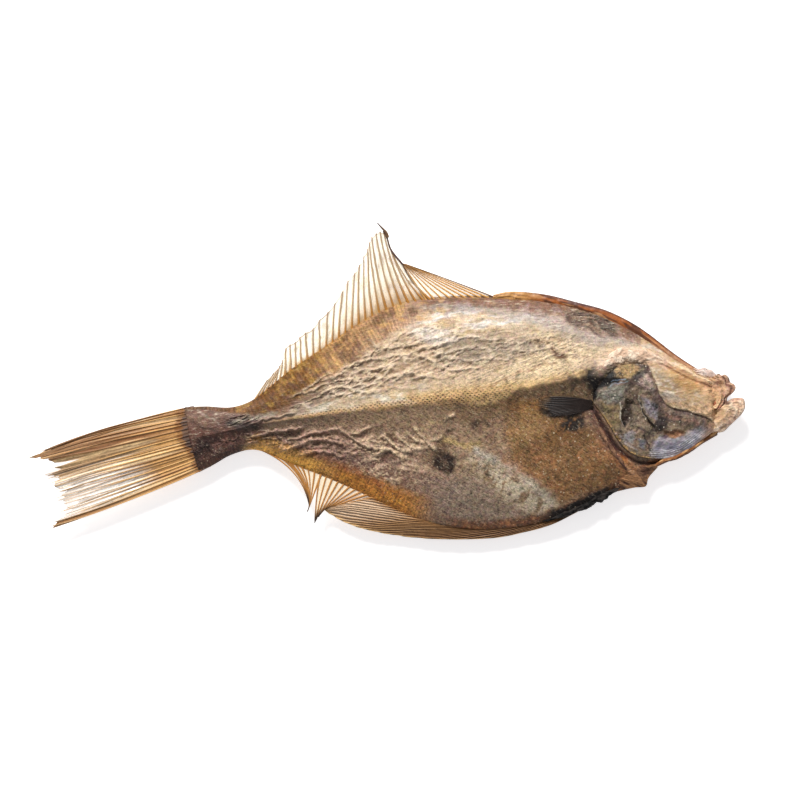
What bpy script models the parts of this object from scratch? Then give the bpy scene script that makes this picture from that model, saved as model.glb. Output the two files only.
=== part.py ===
"""A dried flounder, lying on its eyed side with its blind side up. One closed solid.

Run it with: blender --background --python part.py

The frame is in metres. +X runs from the tail to the mouth, +Y from the belly to the back and
+Z up, out of the blind side. The origin is on the floor, under the middle of the outline.

Every station below is in millimetres on a fish 300 mm long. UNIT turns them into metres, so
TOTAL_LENGTH alone makes a larger or smaller fish.
"""

import math

import bpy
import numpy as np

# Driving dimensions
TOTAL_LENGTH = 0.300  # from the upper corner of the tail to the lower lip, in metres
STATION_LENGTH = 300.0  # the fish that the stations were measured on, in millimetres
UNIT = TOTAL_LENGTH / STATION_LENGTH

EDGE_HEIGHT = 6.2  # of the thin edge all round the body, above the floor
FIN_ROOT = 2.6  # how deep each fin starts inside the body
RAY_THICKNESS = 1.15
WEB_THICKNESS = 0.5

# The body in plan: its back, its belly and the ridge of the backbone between them
BACK = [
    (-87, -10.7), (-78, -10.4), (-67, -10.7), (-59, -8.0), (-51.5, -2.4), (-42.5, 5.0),
    (-28.5, 14.5), (-14.5, 24.4), (-4, 30.3), (6.5, 34.0), (21, 36.0), (46, 36.2),
    (71.5, 33.6), (91, 27.7), (105, 20.2), (122, 8.6), (131, 3.2), (138, 0.4), (143, -3.4),
]
BELLY = [
    (-81, -38.3), (-75, -35.2), (-67.5, -31.0), (-57.5, -28.8), (-42, -34.8), (-29, -39.8),
    (-12, -47.2), (-3, -51.8), (9.7, -57.3), (22.6, -60.8), (40, -62.4), (57, -60.8),
    (71.5, -57.3), (82, -52.8), (93.5, -46.9), (104, -41.0), (112, -36.4), (121, -32.2),
    (131, -26.8), (141, -21.0),
]
RIDGE = [
    (-85, -24.2), (-72, -21.4), (-53, -17.4), (-14, -11.9), (29, -6.6), (50, -3.5),
    (72, 0.3), (84, 2.2), (97, 0.5), (110, -3.0), (125, -7.0), (142, -11.0),
]

# The body in section: how far the ridge stands over the edge and how far the keel hangs under it
RIDGE_RISE = [
    (-87, 0.8), (-80, 2.4), (-67, 4.9), (-50, 7.0), (-20, 9.4), (20, 11.2), (60, 11.8),
    (88, 10.6), (105, 8.8), (120, 7.2), (132, 6.0), (139, 4.8), (143, 3.2),
]
KEEL_DROP = [
    (-87, 0.8), (-80, 1.8), (-67, 3.4), (-50, 4.6), (-25, 6.2), (0, 7.2), (30, 7.8),
    (72, 7.4), (90, 6.2), (105, 4.8), (125, 4.3), (143, 2.6),
]
# Share of the full rise at each share of the way from the edge to the ridge. From SNOUT_FROM
# to SNOUT_FULL the section fills out until it is a half ellipse.
SNOUT_FROM = 112.0
SNOUT_FULL = 136.0
BACK_SECTION = [
    (0, 0), (0.05, 0.13), (0.16, 0.27), (0.25, 0.50), (0.36, 0.68), (0.55, 0.80),
    (0.80, 0.92), (1, 1),
]
BELLY_SECTION = [
    (0, 0), (0.05, 0.13), (0.14, 0.27), (0.27, 0.47), (0.50, 0.62), (0.74, 0.72),
    (0.90, 0.85), (1, 1),
]

BODY_COLUMNS = 56
BACK_ROWS = 23
BELLY_ROWS = 15
KEEL_ROWS = 8

# Skin wrinkles, in two fields: (x from, x to, least and greatest distance from the ridge)
WRINKLE_HEIGHT = 1.2
WRINKLE_PITCH = 5.4
WRINKLE_FIELDS = [(-62, 62, 4.0, 27.0), (-58, 30, -24.0, -8.0)]
FIELD_FADE = 6.0


def through(stations, at):
    """Values at `at` of the smooth curve through (place, value) stations.

    Between two stations it is the cubic whose slope at each one is the mean slope of the two
    runs that meet there, so the curve has no corner.
    """
    places, values = np.array(stations, float).T
    runs = np.diff(values) / np.diff(places)
    slopes = np.concatenate([runs[:1], (runs[:-1] + runs[1:]) / 2, runs[-1:]])
    at = np.clip(np.asarray(at, float), places[0], places[-1])
    i = np.clip(np.searchsorted(places, at) - 1, 0, len(runs) - 1)
    width = places[i + 1] - places[i]
    t = (at - places[i]) / width
    return (
        (1 + 2 * t) * (1 - t) ** 2 * values[i]
        + t * (1 - t) ** 2 * width * slopes[i]
        + t * t * (3 - 2 * t) * values[i + 1]
        + t * t * (t - 1) * width * slopes[i + 1]
    )


def along(points, share):
    """Points on the smooth curve through `points`, at shares 0 to 1 of its length."""
    points = np.array(points, float)
    steps = np.linalg.norm(np.diff(points, axis=0), axis=1)
    way = np.concatenate([[0], np.cumsum(steps)]) / steps.sum()
    return np.stack([through(list(zip(way, axis)), share) for axis in points.T], axis=-1)


def ease(value, low, high):
    """0 below low, 1 above high and a smooth step between."""
    t = np.clip((value - low) / (high - low), 0, 1)
    return t * t * (3 - 2 * t)


# ---------------------------------------------------------------- the body's surface


def wrinkles(x, from_ridge):
    """Height of the skin's folds, which run along the fish and wander up and down.

    Each field is a row of rounded creases, |sin| turned over, whose phase drifts with x, and it
    fades out over FIELD_FADE at its ends.
    """
    height = np.zeros_like(x)
    for start, end, low, high in WRINKLE_FIELDS:
        inside = (
            ease(x, start, start + FIELD_FADE)
            * (1 - ease(x, end - 3 * FIELD_FADE, end))
            * ease(from_ridge, low, low + FIELD_FADE)
            * (1 - ease(from_ridge, high - FIELD_FADE, high))
        )
        drift = 1.1 * np.sin(x / 9.0) + 0.7 * np.sin(x / 4.1 + from_ridge / 6.0)
        crease = 1 - np.abs(np.sin(math.pi * (from_ridge + drift + x * 0.08) / WRINKLE_PITCH))
        height += WRINKLE_HEIGHT * inside * (crease - 0.4)
    return height


def top_height(x, y):
    """Height of the blind side over the floor at a point in plan."""
    back, belly, ridge = through(BACK, x), through(BELLY, x), through(RIDGE, x)
    over = y >= ridge
    share = np.where(over, (back - y) / (back - ridge), (y - belly) / (ridge - belly))
    share = np.clip(share, 0, 1)
    section = np.where(over, through(BACK_SECTION, share), through(BELLY_SECTION, share))
    full = np.sqrt(share * (2 - share))
    section = section + (full - section) * ease(x, SNOUT_FROM, SNOUT_FULL)
    return EDGE_HEIGHT + through(RIDGE_RISE, x) * section + wrinkles(x, y - ridge)


def keel_height(x, y):
    """Height of the eyed side over the floor, which cuts the keel off flat where it would rest."""
    back, belly, ridge = through(BACK, x), through(BELLY, x), through(RIDGE, x)
    share = np.where(y >= ridge, (back - y) / (back - ridge), (y - belly) / (ridge - belly))
    section = np.sin(np.clip(share, 0, 1) * math.pi / 2) ** 0.8
    return np.maximum(EDGE_HEIGHT - through(KEEL_DROP, x) * section, 0.0)


def body_columns():
    """Belly, ridge and back end of each column of the body, as points in plan.

    The columns lean at the tail's root and stand nearly upright at the mouth, and they are
    closer together over the head.
    """
    share = np.linspace(0, 1, BODY_COLUMNS + 1)
    share = share + 0.045 * np.sin(math.pi * share) * (1 - 0.2 * share)
    ends = []
    for stations in (BELLY, RIDGE, BACK):
        x = stations[0][0] + share * (stations[-1][0] - stations[0][0])
        ends.append(np.stack([x, through(stations, x)], axis=-1))
    return ends


def make_body():
    """The trunk and head: columns of points across the top and back across the keel."""
    belly, ridge, back = body_columns()
    low = np.linspace(0, 1, BELLY_ROWS + 1)[:, None, None]
    high = np.linspace(0, 1, BACK_ROWS + 1)[1:, None, None]
    top = np.concatenate([belly + (ridge - belly) * low, ridge + (back - ridge) * high])
    under = np.linspace(1, 0, KEEL_ROWS + 1)[1:-1, None, None]
    under = np.where(
        under > 0.5,
        ridge + (back - ridge) * (2 * under - 1),
        belly + (ridge - belly) * 2 * under,
    )
    top_z = top_height(top[..., 0], top[..., 1])
    top_z[[0, -1]] = EDGE_HEIGHT
    under_z = keel_height(under[..., 0], under[..., 1])
    loop = np.concatenate(
        [np.dstack([top, top_z]), np.dstack([under, under_z])]
    )
    return tube_mesh("flounder", loop.transpose(1, 0, 2))


# ---------------------------------------------------------------- mesh helpers


def add_object(name, points, faces):
    """A mesh object from points in station millimetres."""
    mesh = bpy.data.meshes.new(name)
    mesh.from_pydata((np.asarray(points) * UNIT).tolist(), [], faces)
    mesh.validate()
    made = bpy.data.objects.new(name, mesh)
    bpy.context.scene.collection.objects.link(made)
    return made


def tube_mesh(name, rings):
    """A closed skin over rings of points, each ring joined to the next, with its ends capped."""
    count, around = rings.shape[:2]
    faces = []
    for i in range(count - 1):
        for j in range(around):
            k = (j + 1) % around
            a, b = i * around, (i + 1) * around
            faces.append((a + j, a + k, b + k, b + j))
    faces.append(tuple(reversed(range(around))))
    faces.append(tuple(range((count - 1) * around, count * around)))
    made = add_object(name, rings.reshape(-1, 3), faces)
    return outward(made)


def sheet_mesh(name, middle, thickness):
    """A closed sheet: a grid of middle points, thickened up and down by half of `thickness`."""
    rows, columns = middle.shape[:2]
    half = np.zeros_like(middle)
    half[..., 2] = thickness / 2
    points = np.concatenate([(middle + half).reshape(-1, 3), (middle - half).reshape(-1, 3)])
    under = rows * columns
    faces = []
    for i in range(rows - 1):
        for j in range(columns - 1):
            a, b = i * columns + j, (i + 1) * columns + j
            faces.append((a, a + 1, b + 1, b))
            faces.append((under + a, under + b, under + b + 1, under + a + 1))
    rim = [j for j in range(columns)]
    rim += [i * columns + columns - 1 for i in range(1, rows)]
    rim += [(rows - 1) * columns + j for j in range(columns - 2, -1, -1)]
    rim += [i * columns for i in range(rows - 2, 0, -1)]
    for a, b in zip(rim, rim[1:] + rim[:1]):
        faces.append((a, under + a, under + b, b))
    return outward(add_object(name, points, faces))


def outward(made):
    """Turns the mesh round if its faces point inwards."""
    mesh = made.data
    mesh.calc_loop_triangles()
    points = np.array([v.co for v in mesh.vertices])
    corners = points[np.array([t.vertices for t in mesh.loop_triangles])]
    volume = np.einsum("ij,ij->i", corners[:, 0], np.cross(corners[:, 1], corners[:, 2])).sum()
    if volume < 0:
        mesh.flip_normals()
    return made


def bar(name, spine, widths, heights, around=10):
    """A bar with an oval section along a smooth spine, narrowing to its blunt ends."""
    share = np.linspace(0, 1, 9)
    middle = along(spine, share)
    run = np.gradient(middle, axis=0)
    side = np.stack([-run[:, 1], run[:, 0], np.zeros(len(run))], axis=-1)
    side /= np.linalg.norm(side, axis=1)[:, None]
    turn = np.arange(around) * 2 * math.pi / around
    width = through(widths, share)[:, None, None]
    height = through(heights, share)[:, None]
    rings = middle[:, None] + side[:, None] * np.cos(turn)[None, :, None] * width
    rings[..., 2] += np.sin(turn)[None] * height
    return tube_mesh(name, rings)


# ---------------------------------------------------------------- the fins


def fin(
    name, base, tips, rays, rows=4, nick=0.06, bows=((0, 0), (0, 0)), tip_power=1.0,
    ripple=0.0, ragged=0.0, root=1.0,
):
    """A pleated fin: rays run from a base curve to a tip curve, with thin web between them.

    A ray at share p of the base ends at share p**tip_power of the tip curve. `bows` says how far
    the middles of the first and the last ray stand aside, and their neighbours follow by the
    fourth power. Between rays the web ends `nick` short. `ripple` is the height of three waves
    across the fin, which grow towards its edge, `ragged` the share of its length that a ray
    between the outer ones may have lost and `root` how much thicker the fin is at its base.
    """
    columns = 2 * rays + 1
    p = np.linspace(0, 1, columns)
    is_web = np.arange(columns) % 2 == 1
    lost = ragged * np.random.default_rng(rays).random(columns) * np.sin(math.pi * p) ** 0.5
    reach = 1 - lost - np.where(is_web, nick, 0.0)
    start = along(base, p)
    end = along(tips, p**tip_power)
    aside = np.zeros_like(start)
    aside[:, :2] = np.outer((1 - p) ** 4, bows[0]) + np.outer(p**4, bows[1])
    t = np.linspace(0, 1, rows + 1)[:, None, None] * reach[None, :, None]
    grid = start + (end - start) * t + aside * 4 * t * (1 - t)
    grid[..., 2] += ripple * np.sin(6 * math.pi * p + 0.6)[None, :] * t[..., 0] ** 1.5
    taper = 0.75 + (root - 0.75) * (1 - t[..., 0]) ** 2
    thickness = np.where(is_web, WEB_THICKNESS, RAY_THICKNESS)[None, :] * taper
    return sheet_mesh(name, grid, thickness)


def edge_run(stations, x_from, x_to, inward, count=9):
    """Points on the body's edge from one x to another, moved FIN_ROOT into the body."""
    x = np.linspace(x_from, x_to, count)
    y = through(stations, x) + inward * FIN_ROOT
    return np.stack([x, y, np.full(count, EDGE_HEIGHT)], axis=-1)


def make_fins():
    """The tail, the dorsal fin in three runs and the anal fin in three runs."""
    dorsal_peak = fin(
        "dorsal_peak",
        edge_run(BACK, -61, 17.5, -1),
        [
            (-60, -7.0, 6.6), (-51, 3.2, 7.0), (-42.4, 15.0, 7.8), (-34, 21.8, 8.2),
            (-25.5, 32.4, 9.2), (-17, 43.8, 10.8), (-10, 56.5, 12.4), (-4, 65.0, 13.6),
        ],
        rays=21, rows=4, bows=((0, 0), (-2.7, 1.3)), ripple=0.4,
    )
    dorsal_fold = fin(
        "dorsal_fold",
        edge_run(BACK, 15.5, 47, -1),
        [(4.6, 51.2, 10.2), (12.4, 48.2, 9.6), (24, 43.8, 8.6), (36, 39.4, 7.4), (46, 38.0, 6.8)],
        rays=9, rows=3, tip_power=1.5,
    )
    dorsal_rim = fin(
        "dorsal_rim",
        edge_run(BACK, 44, 133, -1),
        [
            (44, 38.0, 6.8), (52, 38.4, 6.6), (67.3, 36.5, 6.4), (80, 33.2, 6.4),
            (93, 28.9, 6.4), (105.3, 22.4, 6.2), (122.2, 10.4, 6.0), (132, 4.4, 5.8),
        ],
        rays=9, rows=2, nick=0.0,
    )
    anal_spike = fin(
        "anal_spike",
        edge_run(BELLY, -59.5, -28, 1),
        [
            (-58.5, -29.6, 6.0), (-47.3, -33.9, 5.6), (-40.9, -37.8, 5.4), (-37.0, -41.6, 5.4),
            (-34.6, -45.7, 5.8), (-34.2, -50.0, 6.6), (-35.4, -54.8, 7.8),
        ],
        rays=7, rows=3, bows=((0, 0), (2.4, -0.6)),
    )
    anal_hook = fin(
        "anal_hook",
        edge_run(BELLY, -29, -7, 1),
        [(-32.2, -60.3, 8.6), (-30.6, -57.4, 7.4), (-28.4, -55.6, 6.4), (-25.4, -54.6, 5.8)],
        rays=7, rows=3,
    )
    anal_fan = fin(
        "anal_fan",
        edge_run(BELLY, -9, 72, 1),
        [
            (-27.2, -54.7, 5.6), (-16.4, -60.6, 4.6), (-4.4, -63.9, 4.4), (12.4, -66.2, 4.6),
            (37.8, -66.8, 5.0), (54.6, -63.9, 5.4), (72.5, -58.6, 5.8),
        ],
        rays=13, rows=3, nick=0.02, ripple=0.5,
    )
    tail = fin(
        "tail",
        [(-76.6, -36.7, 6.2), (-81.0, -24.5, 6.2), (-83.4, -11.3, 6.2)],
        [
            (-140.7, -61.3, 6.4), (-139.0, -52.0, 5.6), (-140.6, -46.0, 5.2),
            (-145.2, -39.5, 5.6), (-145.0, -34.0, 6.4), (-150.0, -31.3, 7.4),
        ],
        rays=15, rows=5, nick=0.07, bows=((-0.5, -1.4), (0.3, 1.2)), ripple=1.1, ragged=0.09,
        root=2.2,
    )
    return [dorsal_peak, dorsal_fold, dorsal_rim, anal_spike, anal_hook, anal_fan, tail]


# ---------------------------------------------------------------- the head

GILL_COVER = [
    (84.5, -8.5), (85.8, -1.0), (91.0, 6.0), (98.5, 9.4), (106.3, 9.0), (109.0, 5.0),
    (111.4, -0.5), (114.2, -8.0), (124.0, -12.8), (133.0, -15.4), (135.6, -19.6),
    (129.0, -26.0), (121.0, -30.6), (112.0, -32.2), (105.0, -30.8), (96.2, -24.0),
    (90.0, -15.6),
]
CHEEK = [
    (99.0, 9.0), (107.5, 8.2), (109.5, 3.0), (112.3, -3.0), (116.0, -11.2), (123.0, -12.9),
    (132.0, -14.3), (137.2, -17.0), (140.5, -12.0), (140.0, -5.0), (136.5, -1.2), (129.0, 1.4),
    (119.0, 7.4), (110.0, 12.6), (103.0, 13.4),
]
COVER_LIFT = 0.7  # of the gill cover's edge above the skin
COVER_BULGE = 0.9  # that its middle adds
CHEEK_LIFT = 1.1
CHEEK_BULGE = 1.0


def plate(name, outline, surface, lift, bulge, around, depth=1.6):
    """A thin plate on the skin: rings of an outline shrunk to its middle, over a surface."""
    closed = list(outline) + [outline[0]]
    rim = along(closed, np.linspace(0, 1, around + 1)[:-1])
    middle = rim.mean(axis=0)
    rings = []
    for share, rise in ((1.0, -depth), (1.0, lift), (0.72, lift + bulge * 0.6), (0.36, lift + bulge)):
        plan = middle + (rim - middle) * share
        rings.append(np.column_stack([plan, surface(*plan.T) + rise]))
    under = middle + (rim - middle) * 0.5
    bottom = np.column_stack([under, surface(*under.T) - depth - 1.4])
    return tube_mesh(name, np.array([bottom] + rings))


def on_skin(points, lift):
    """Points in plan put on the blind side, `lift` above it."""
    return [(x, y, float(top_height(np.array(x), np.array(y))) + lift) for x, y in points]


def oval(name, centre, radii, rings=6, around=12):
    """A ball squashed to three radii, with flat little caps at its poles."""
    rise = np.linspace(-0.9, 0.9, rings + 1) * math.pi / 2
    turn = np.arange(around) * 2 * math.pi / around
    unit = np.stack(
        [
            np.outer(np.cos(rise), np.cos(turn)),
            np.outer(np.cos(rise), np.sin(turn)),
            np.repeat(np.sin(rise)[:, None], around, axis=1),
        ],
        axis=-1,
    )
    return tube_mesh(name, unit * np.array(radii) + np.array(centre))


def make_head():
    """The gill cover and cheek, the bars round them, both jaws, the eyes and the throat."""
    cover = plate("gill_cover", GILL_COVER, top_height, COVER_LIFT, COVER_BULGE, around=34)
    cheek = plate("cheek", CHEEK, top_height, CHEEK_LIFT, CHEEK_BULGE, around=28)
    shoulder_bar = bar(
        "shoulder_bar",
        on_skin([(85.5, -12.5), (90.5, -21.5), (97.5, -31.0), (104.5, -38.5)], 0.2)
        + [(107.6, -43.2, EDGE_HEIGHT)],
        widths=[(0, 0.6), (0.5, 1.5), (1, 0.8)],
        heights=[(0, 0.5), (0.5, 1.4), (1, 0.7)],
    )
    cover_ridge = bar(
        "cover_ridge",
        on_skin([(97.5, 4.5), (102.0, -4.0), (105.6, -12.3), (111.5, -19.0)], 1.4),
        widths=[(0, 0.4), (0.4, 1.2), (1, 0.4)],
        heights=[(0, 0.4), (0.4, 0.9), (1, 0.4)],
    )
    throat_bar = bar(
        "throat_bar",
        [(108.6, -34.2, 8.2), (116.0, -32.8, 8.0), (126.0, -28.6, 7.6), (137.2, -21.6, 7.2)],
        widths=[(0, 0.4), (0.4, 1.3), (1, 1.1)],
        heights=[(0, 0.5), (0.5, 1.6), (1, 1.4)],
    )
    brow_bar = bar(
        "brow_bar",
        on_skin([(108.0, 9.6), (117.0, 7.0), (126.0, 2.8), (134.0, -0.6)], 0.9),
        widths=[(0, 0.4), (0.4, 1.0), (1, 0.5)],
        heights=[(0, 0.4), (0.5, 1.2), (1, 0.6)],
    )
    upper_jaw = bar(
        "upper_jaw",
        [(134.8, 0.2, 7.6), (140.0, 0.6, 7.8), (143.0, -2.6, 7.8), (141.8, -7.4, 8.2), (138.8, -12.4, 9.4)],
        widths=[(0, 1.4), (0.35, 2.5), (0.6, 2.5), (1, 1.1)],
        heights=[(0, 2.2), (0.4, 3.3), (0.75, 2.8), (1, 1.2)],
    )
    lower_jaw = bar(
        "lower_jaw",
        [(134.5, -19.6, 7.2), (140.8, -16.6, 7.6), (145.4, -12.0, 7.8), (147.0, -9.0, 7.8)],
        widths=[(0, 1.6), (0.4, 3.0), (0.85, 2.8), (1, 1.6)],
        heights=[(0, 2.0), (0.6, 3.0), (1, 1.5)],
    )
    brow_eye = oval("brow_eye", (133.2, 1.4, 4.9), (4.4, 4.4, 3.2))
    lower_eye = oval("lower_eye", (126.0, -7.0, 3.1), (4.6, 4.0, 2.8))
    throat = sheet_mesh(
        "throat_point",
        np.array([
            [(94.0, -43.0, 6.4), (103.0, -36.0, 7.4), (111.0, -32.5, 6.8)],
            [(95.0, -46.6, 6.2), (106.0, -41.4, 6.8), (112.4, -36.2, 6.2)],
            [(101.0, -44.9, 6.0), (107.8, -43.7, 6.2), (109.2, -40.0, 6.0)],
        ]),
        np.full((3, 3), 1.6),
    )
    return [
        cover, cheek, shoulder_bar, cover_ridge, throat_bar, brow_bar, upper_jaw, lower_jaw,
        brow_eye, lower_eye, throat,
    ]


def make_pectoral():
    """The small pectoral fin, dried flat on the skin behind the gill cover."""
    rays = 6
    turn = np.linspace(-0.28, 0.42, rays + 1)
    reach = np.array([19, 22.5, 24, 24, 22.5, 19.5, 15])
    rows = []
    for share in (0.0, 0.35, 0.7, 1.0):
        x = 86.0 - share * reach * np.cos(turn)
        y = -10.6 + turn * 5 + share * reach * np.sin(turn) * 0.85
        rows.append(np.stack([x, y, top_height(x, y) + 0.35], axis=-1))
    return sheet_mesh("pectoral", np.array(rows), np.full((4, rays + 1), 1.1))


# ---------------------------------------------------------------- joining and finishing


def material(name, colour, roughness):
    made = bpy.data.materials.new(name)
    made.use_nodes = True
    shader = made.node_tree.nodes["Principled BSDF"]
    shader.inputs["Base Color"].default_value = (*colour, 1)
    shader.inputs["Roughness"].default_value = roughness
    made.diffuse_color = (*colour, 1)
    return made


def join(body, pieces):
    """One Boolean union of the body and the pieces, applied, and the pieces removed."""
    joined = bpy.data.collections.new("joined")
    bpy.context.scene.collection.children.link(joined)
    for piece in pieces:
        bpy.context.scene.collection.objects.unlink(piece)
        joined.objects.link(piece)
    union = body.modifiers.new("union", "BOOLEAN")
    union.operation = "UNION"
    union.operand_type = "COLLECTION"
    union.collection = joined
    union.solver = "EXACT"
    union.material_mode = "TRANSFER"
    bpy.context.view_layer.objects.active = body
    bpy.ops.object.modifier_apply(modifier=union.name)
    for piece in pieces:
        bpy.data.objects.remove(piece)
    bpy.data.collections.remove(joined)


def main():
    for old in list(bpy.data.objects):
        bpy.data.objects.remove(old)
    skin = material("dried_skin", (0.42, 0.31, 0.19), 0.6)
    horn = material("dried_fin", (0.58, 0.40, 0.20), 0.5)
    bone = material("gill_bone", (0.13, 0.12, 0.12), 0.4)
    body = make_body()
    fins = make_fins() + [make_pectoral()]
    head = make_head()
    for made, finish in [(body, skin)] + [(f, horn) for f in fins] + [(h, skin) for h in head]:
        made.data.materials.append(bone if made.name.split("_")[-1] in ("cover", "ridge") else finish)
    join(body, fins + head)
    body.data.shade_smooth()
    body.data.set_sharp_from_angle(angle=math.radians(35))


main()
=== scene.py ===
# %% [markdown]
# # A dried flounder
# A flounder is a flat fish that swims on its side. Dried whole, its skin shrinks into folds,
# its fins turn to stiff golden fans and its pale blind side goes cream above the backbone and
# brown below it. This lesson builds such a fish lying on its eyed side. Every shape is a
# function of two numbers worked out with numpy, and every finish is a small shader recipe.

# %% Load the frame
import math

import bpy
import numpy as np
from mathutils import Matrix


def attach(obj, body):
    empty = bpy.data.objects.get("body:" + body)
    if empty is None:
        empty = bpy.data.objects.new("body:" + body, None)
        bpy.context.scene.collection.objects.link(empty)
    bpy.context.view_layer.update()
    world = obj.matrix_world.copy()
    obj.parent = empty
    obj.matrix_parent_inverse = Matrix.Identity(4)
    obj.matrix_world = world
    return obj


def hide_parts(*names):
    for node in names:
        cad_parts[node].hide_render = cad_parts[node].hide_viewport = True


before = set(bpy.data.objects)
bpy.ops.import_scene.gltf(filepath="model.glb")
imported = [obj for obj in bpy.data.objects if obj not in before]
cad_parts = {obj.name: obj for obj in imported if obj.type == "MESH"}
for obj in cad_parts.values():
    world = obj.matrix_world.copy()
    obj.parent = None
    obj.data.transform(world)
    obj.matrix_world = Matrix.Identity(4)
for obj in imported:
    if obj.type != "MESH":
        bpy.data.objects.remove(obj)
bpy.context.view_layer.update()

MM = 0.001

# %% [markdown]
# ## Camera
# The fish can't stand on its belly edge, so it lies down and the camera hangs straight above
# it. An unturned Blender camera looks down -Z with +Y at the top of the picture, which is just
# what is needed. A long lens keeps the raised parts from leaning outwards.

# %% The camera
PICTURE = 800
MM_PER_DOT = 0.422
LENS, SENSOR = 110.0, 36.0
VIEW_CENTRE = (4.0, -7.7)

camera = bpy.data.objects.new("camera", bpy.data.cameras.new("camera"))
bpy.context.scene.collection.objects.link(camera)
camera.data.lens = LENS
camera.data.sensor_width = SENSOR
camera_height = PICTURE * MM_PER_DOT * LENS / SENSOR + 9.0
camera.location = (VIEW_CENTRE[0] * MM, VIEW_CENTRE[1] * MM, camera_height * MM)
camera.data.clip_start = 0.05
bpy.context.scene.camera = camera
print("camera height in mm:", round(camera_height))

# %% [markdown]
# ## Curves and clouds
# Three helpers do most of the work. `through` draws a smooth curve through a few stations,
# `ease` fades between two values, and `cloud` is soft random noise. The noise is made from a
# whole-number hash, so it is the same on every run.


# %% Smooth curves
def ease(value, low, high):
    """0 before low, 1 past high and the step 3t^2 - 2t^3 between them. Where low is the larger
    of the two, it is 1 below high and 0 above low, so it falls."""
    t = np.clip((value - low) / (high - low), 0, 1)
    return t * t * (3 - 2 * t)


def bell(value, middle, width):
    """1 at the middle, falling to 0 on both sides as the bell curve exp(-d^2), d in widths."""
    return np.exp(-(((value - middle) / width) ** 2))


def spot(x, y, place, area):
    """1 at a place, falling to 0 all round it as exp(-(squared distance) / area)."""
    return np.exp(-((x - place[0]) ** 2 + (y - place[1]) ** 2) / area)


def through(stations, at):
    """Cubic curve through (place, value) stations, whose slope at a station is the mean slope
    of the two runs that meet there."""
    places, values = np.array(stations, float).T
    runs = np.diff(values) / np.diff(places)
    slopes = np.concatenate([runs[:1], (runs[:-1] + runs[1:]) / 2, runs[-1:]])
    at = np.clip(np.asarray(at, float), places[0], places[-1])
    i = np.clip(np.searchsorted(places, at) - 1, 0, len(runs) - 1)
    width = places[i + 1] - places[i]
    t = (at - places[i]) / width
    return (
        (1 + 2 * t) * (1 - t) ** 2 * values[i]
        + t * (1 - t) ** 2 * width * slopes[i]
        + t * t * (3 - 2 * t) * values[i + 1]
        + t * t * (t - 1) * width * slopes[i + 1]
    )


def along(points, share):
    """Points on the smooth curve through `points`, at shares 0 to 1 of its length."""
    points = np.array(points, float)
    steps = np.linalg.norm(np.diff(points, axis=0), axis=1)
    way = np.concatenate([[0], np.cumsum(steps)]) / steps.sum()
    return np.stack([through(np.column_stack([way, axis]), share) for axis in points.T], axis=-1)


# %% Noise
def lattice(i, j, seed):
    """A number from 0 to 1 for each whole grid point: its two numbers hashed together."""
    n = (i * 374761393 + j * 668265263 + seed * 2246822519) & 0xFFFFFFFF
    n = ((n ^ (n >> 13)) * 1274126177) & 0xFFFFFFFF
    return ((n ^ (n >> 16)) & 0xFFFF) / 65535.0


def grain(x, y, seed=0):
    """Noise of one size: grid values blended with the step 3t^2 - 2t^3 both ways."""
    i, j = np.floor(x).astype(np.int64), np.floor(y).astype(np.int64)
    u, w = x - i, y - j
    u, w = u * u * (3 - 2 * u), w * w * (3 - 2 * w)
    near = lattice(i, j, seed) * (1 - u) + lattice(i + 1, j, seed) * u
    far = lattice(i, j + 1, seed) * (1 - u) + lattice(i + 1, j + 1, seed) * u
    return near * (1 - w) + far * w


def cloud(x, y, size, seed=0, octaves=3):
    """Sum of `octaves` grains, each half as large and half as strong as the one before."""
    total, weight = 0.0, 0.0
    for k in range(octaves):
        total = total + grain(x * 2**k / size + 31.7 * k, y * 2**k / size - 17.3 * k, seed + k) / 2**k
        weight += 1 / 2**k
    return total / weight


def wrinkles(x, across, length, width, seed):
    """Winding crests from 0 to 1: the lines where a cloud stretched along x passes its middle
    value, broken up by a second cloud."""
    wx = x + 4.5 * (cloud(x, across, 5, seed + 1) - 0.5)
    wy = across + 1.7 * (cloud(x, across, 2.2, seed + 2) - 0.5)
    level = cloud(wx * width / length, wy, width, seed, 2)
    whole_part = ease(cloud(x * 0.5, across, 4, seed + 3, 2), 0.32, 0.52)
    return bell(level, 0.5, 0.045) * whole_part


print("noise check:", round(float(cloud(np.array([1.0]), np.array([2.0]), 3)[0]), 4))


# %% [markdown]
# ## Marking places on the fish
# Colour and relief both need to know where a point is: inside a patch such as the cheek, or
# how far from a line such as the gill slit. Both answers come from the distance to a chain of
# straight pieces. Shifting the point by a cloud first makes every border ragged, as on skin.


# %% Patches and lines
def distance(path, x, y):
    """Distance in mm from each point to the nearest of a path's straight pieces."""
    best = np.full(np.shape(x), 1e9)
    for (ax, ay), (bx, by) in zip(path[:-1], path[1:]):
        dx, dy = bx - ax, by - ay
        t = np.clip(((x - ax) * dx + (y - ay) * dy) / (dx * dx + dy * dy), 0, 1)
        best = np.minimum(best, (x - ax - t * dx) ** 2 + (y - ay - t * dy) ** 2)
    return np.sqrt(best)


def inside(outline, x, y, soft=1.0):
    """1 inside a closed outline and 0 outside, easing over `soft` mm on each side of it."""
    closed = list(outline) + [outline[0]]
    odd = np.zeros(np.shape(x), bool)
    for (ax, ay), (bx, by) in zip(closed[:-1], closed[1:]):
        if ay != by:
            crosses = ((ay > y) != (by > y)) & (x < ax + (y - ay) * (bx - ax) / (by - ay))
            odd ^= crosses
    away = distance(closed, x, y)
    return ease(np.where(odd, away, -away), -soft, soft)


def near(path, x, y, width):
    """1 on a path, falling to 0 away from it as the bell curve exp(-(d / width)^2)."""
    return bell(distance(path, x, y), 0, width)


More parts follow.
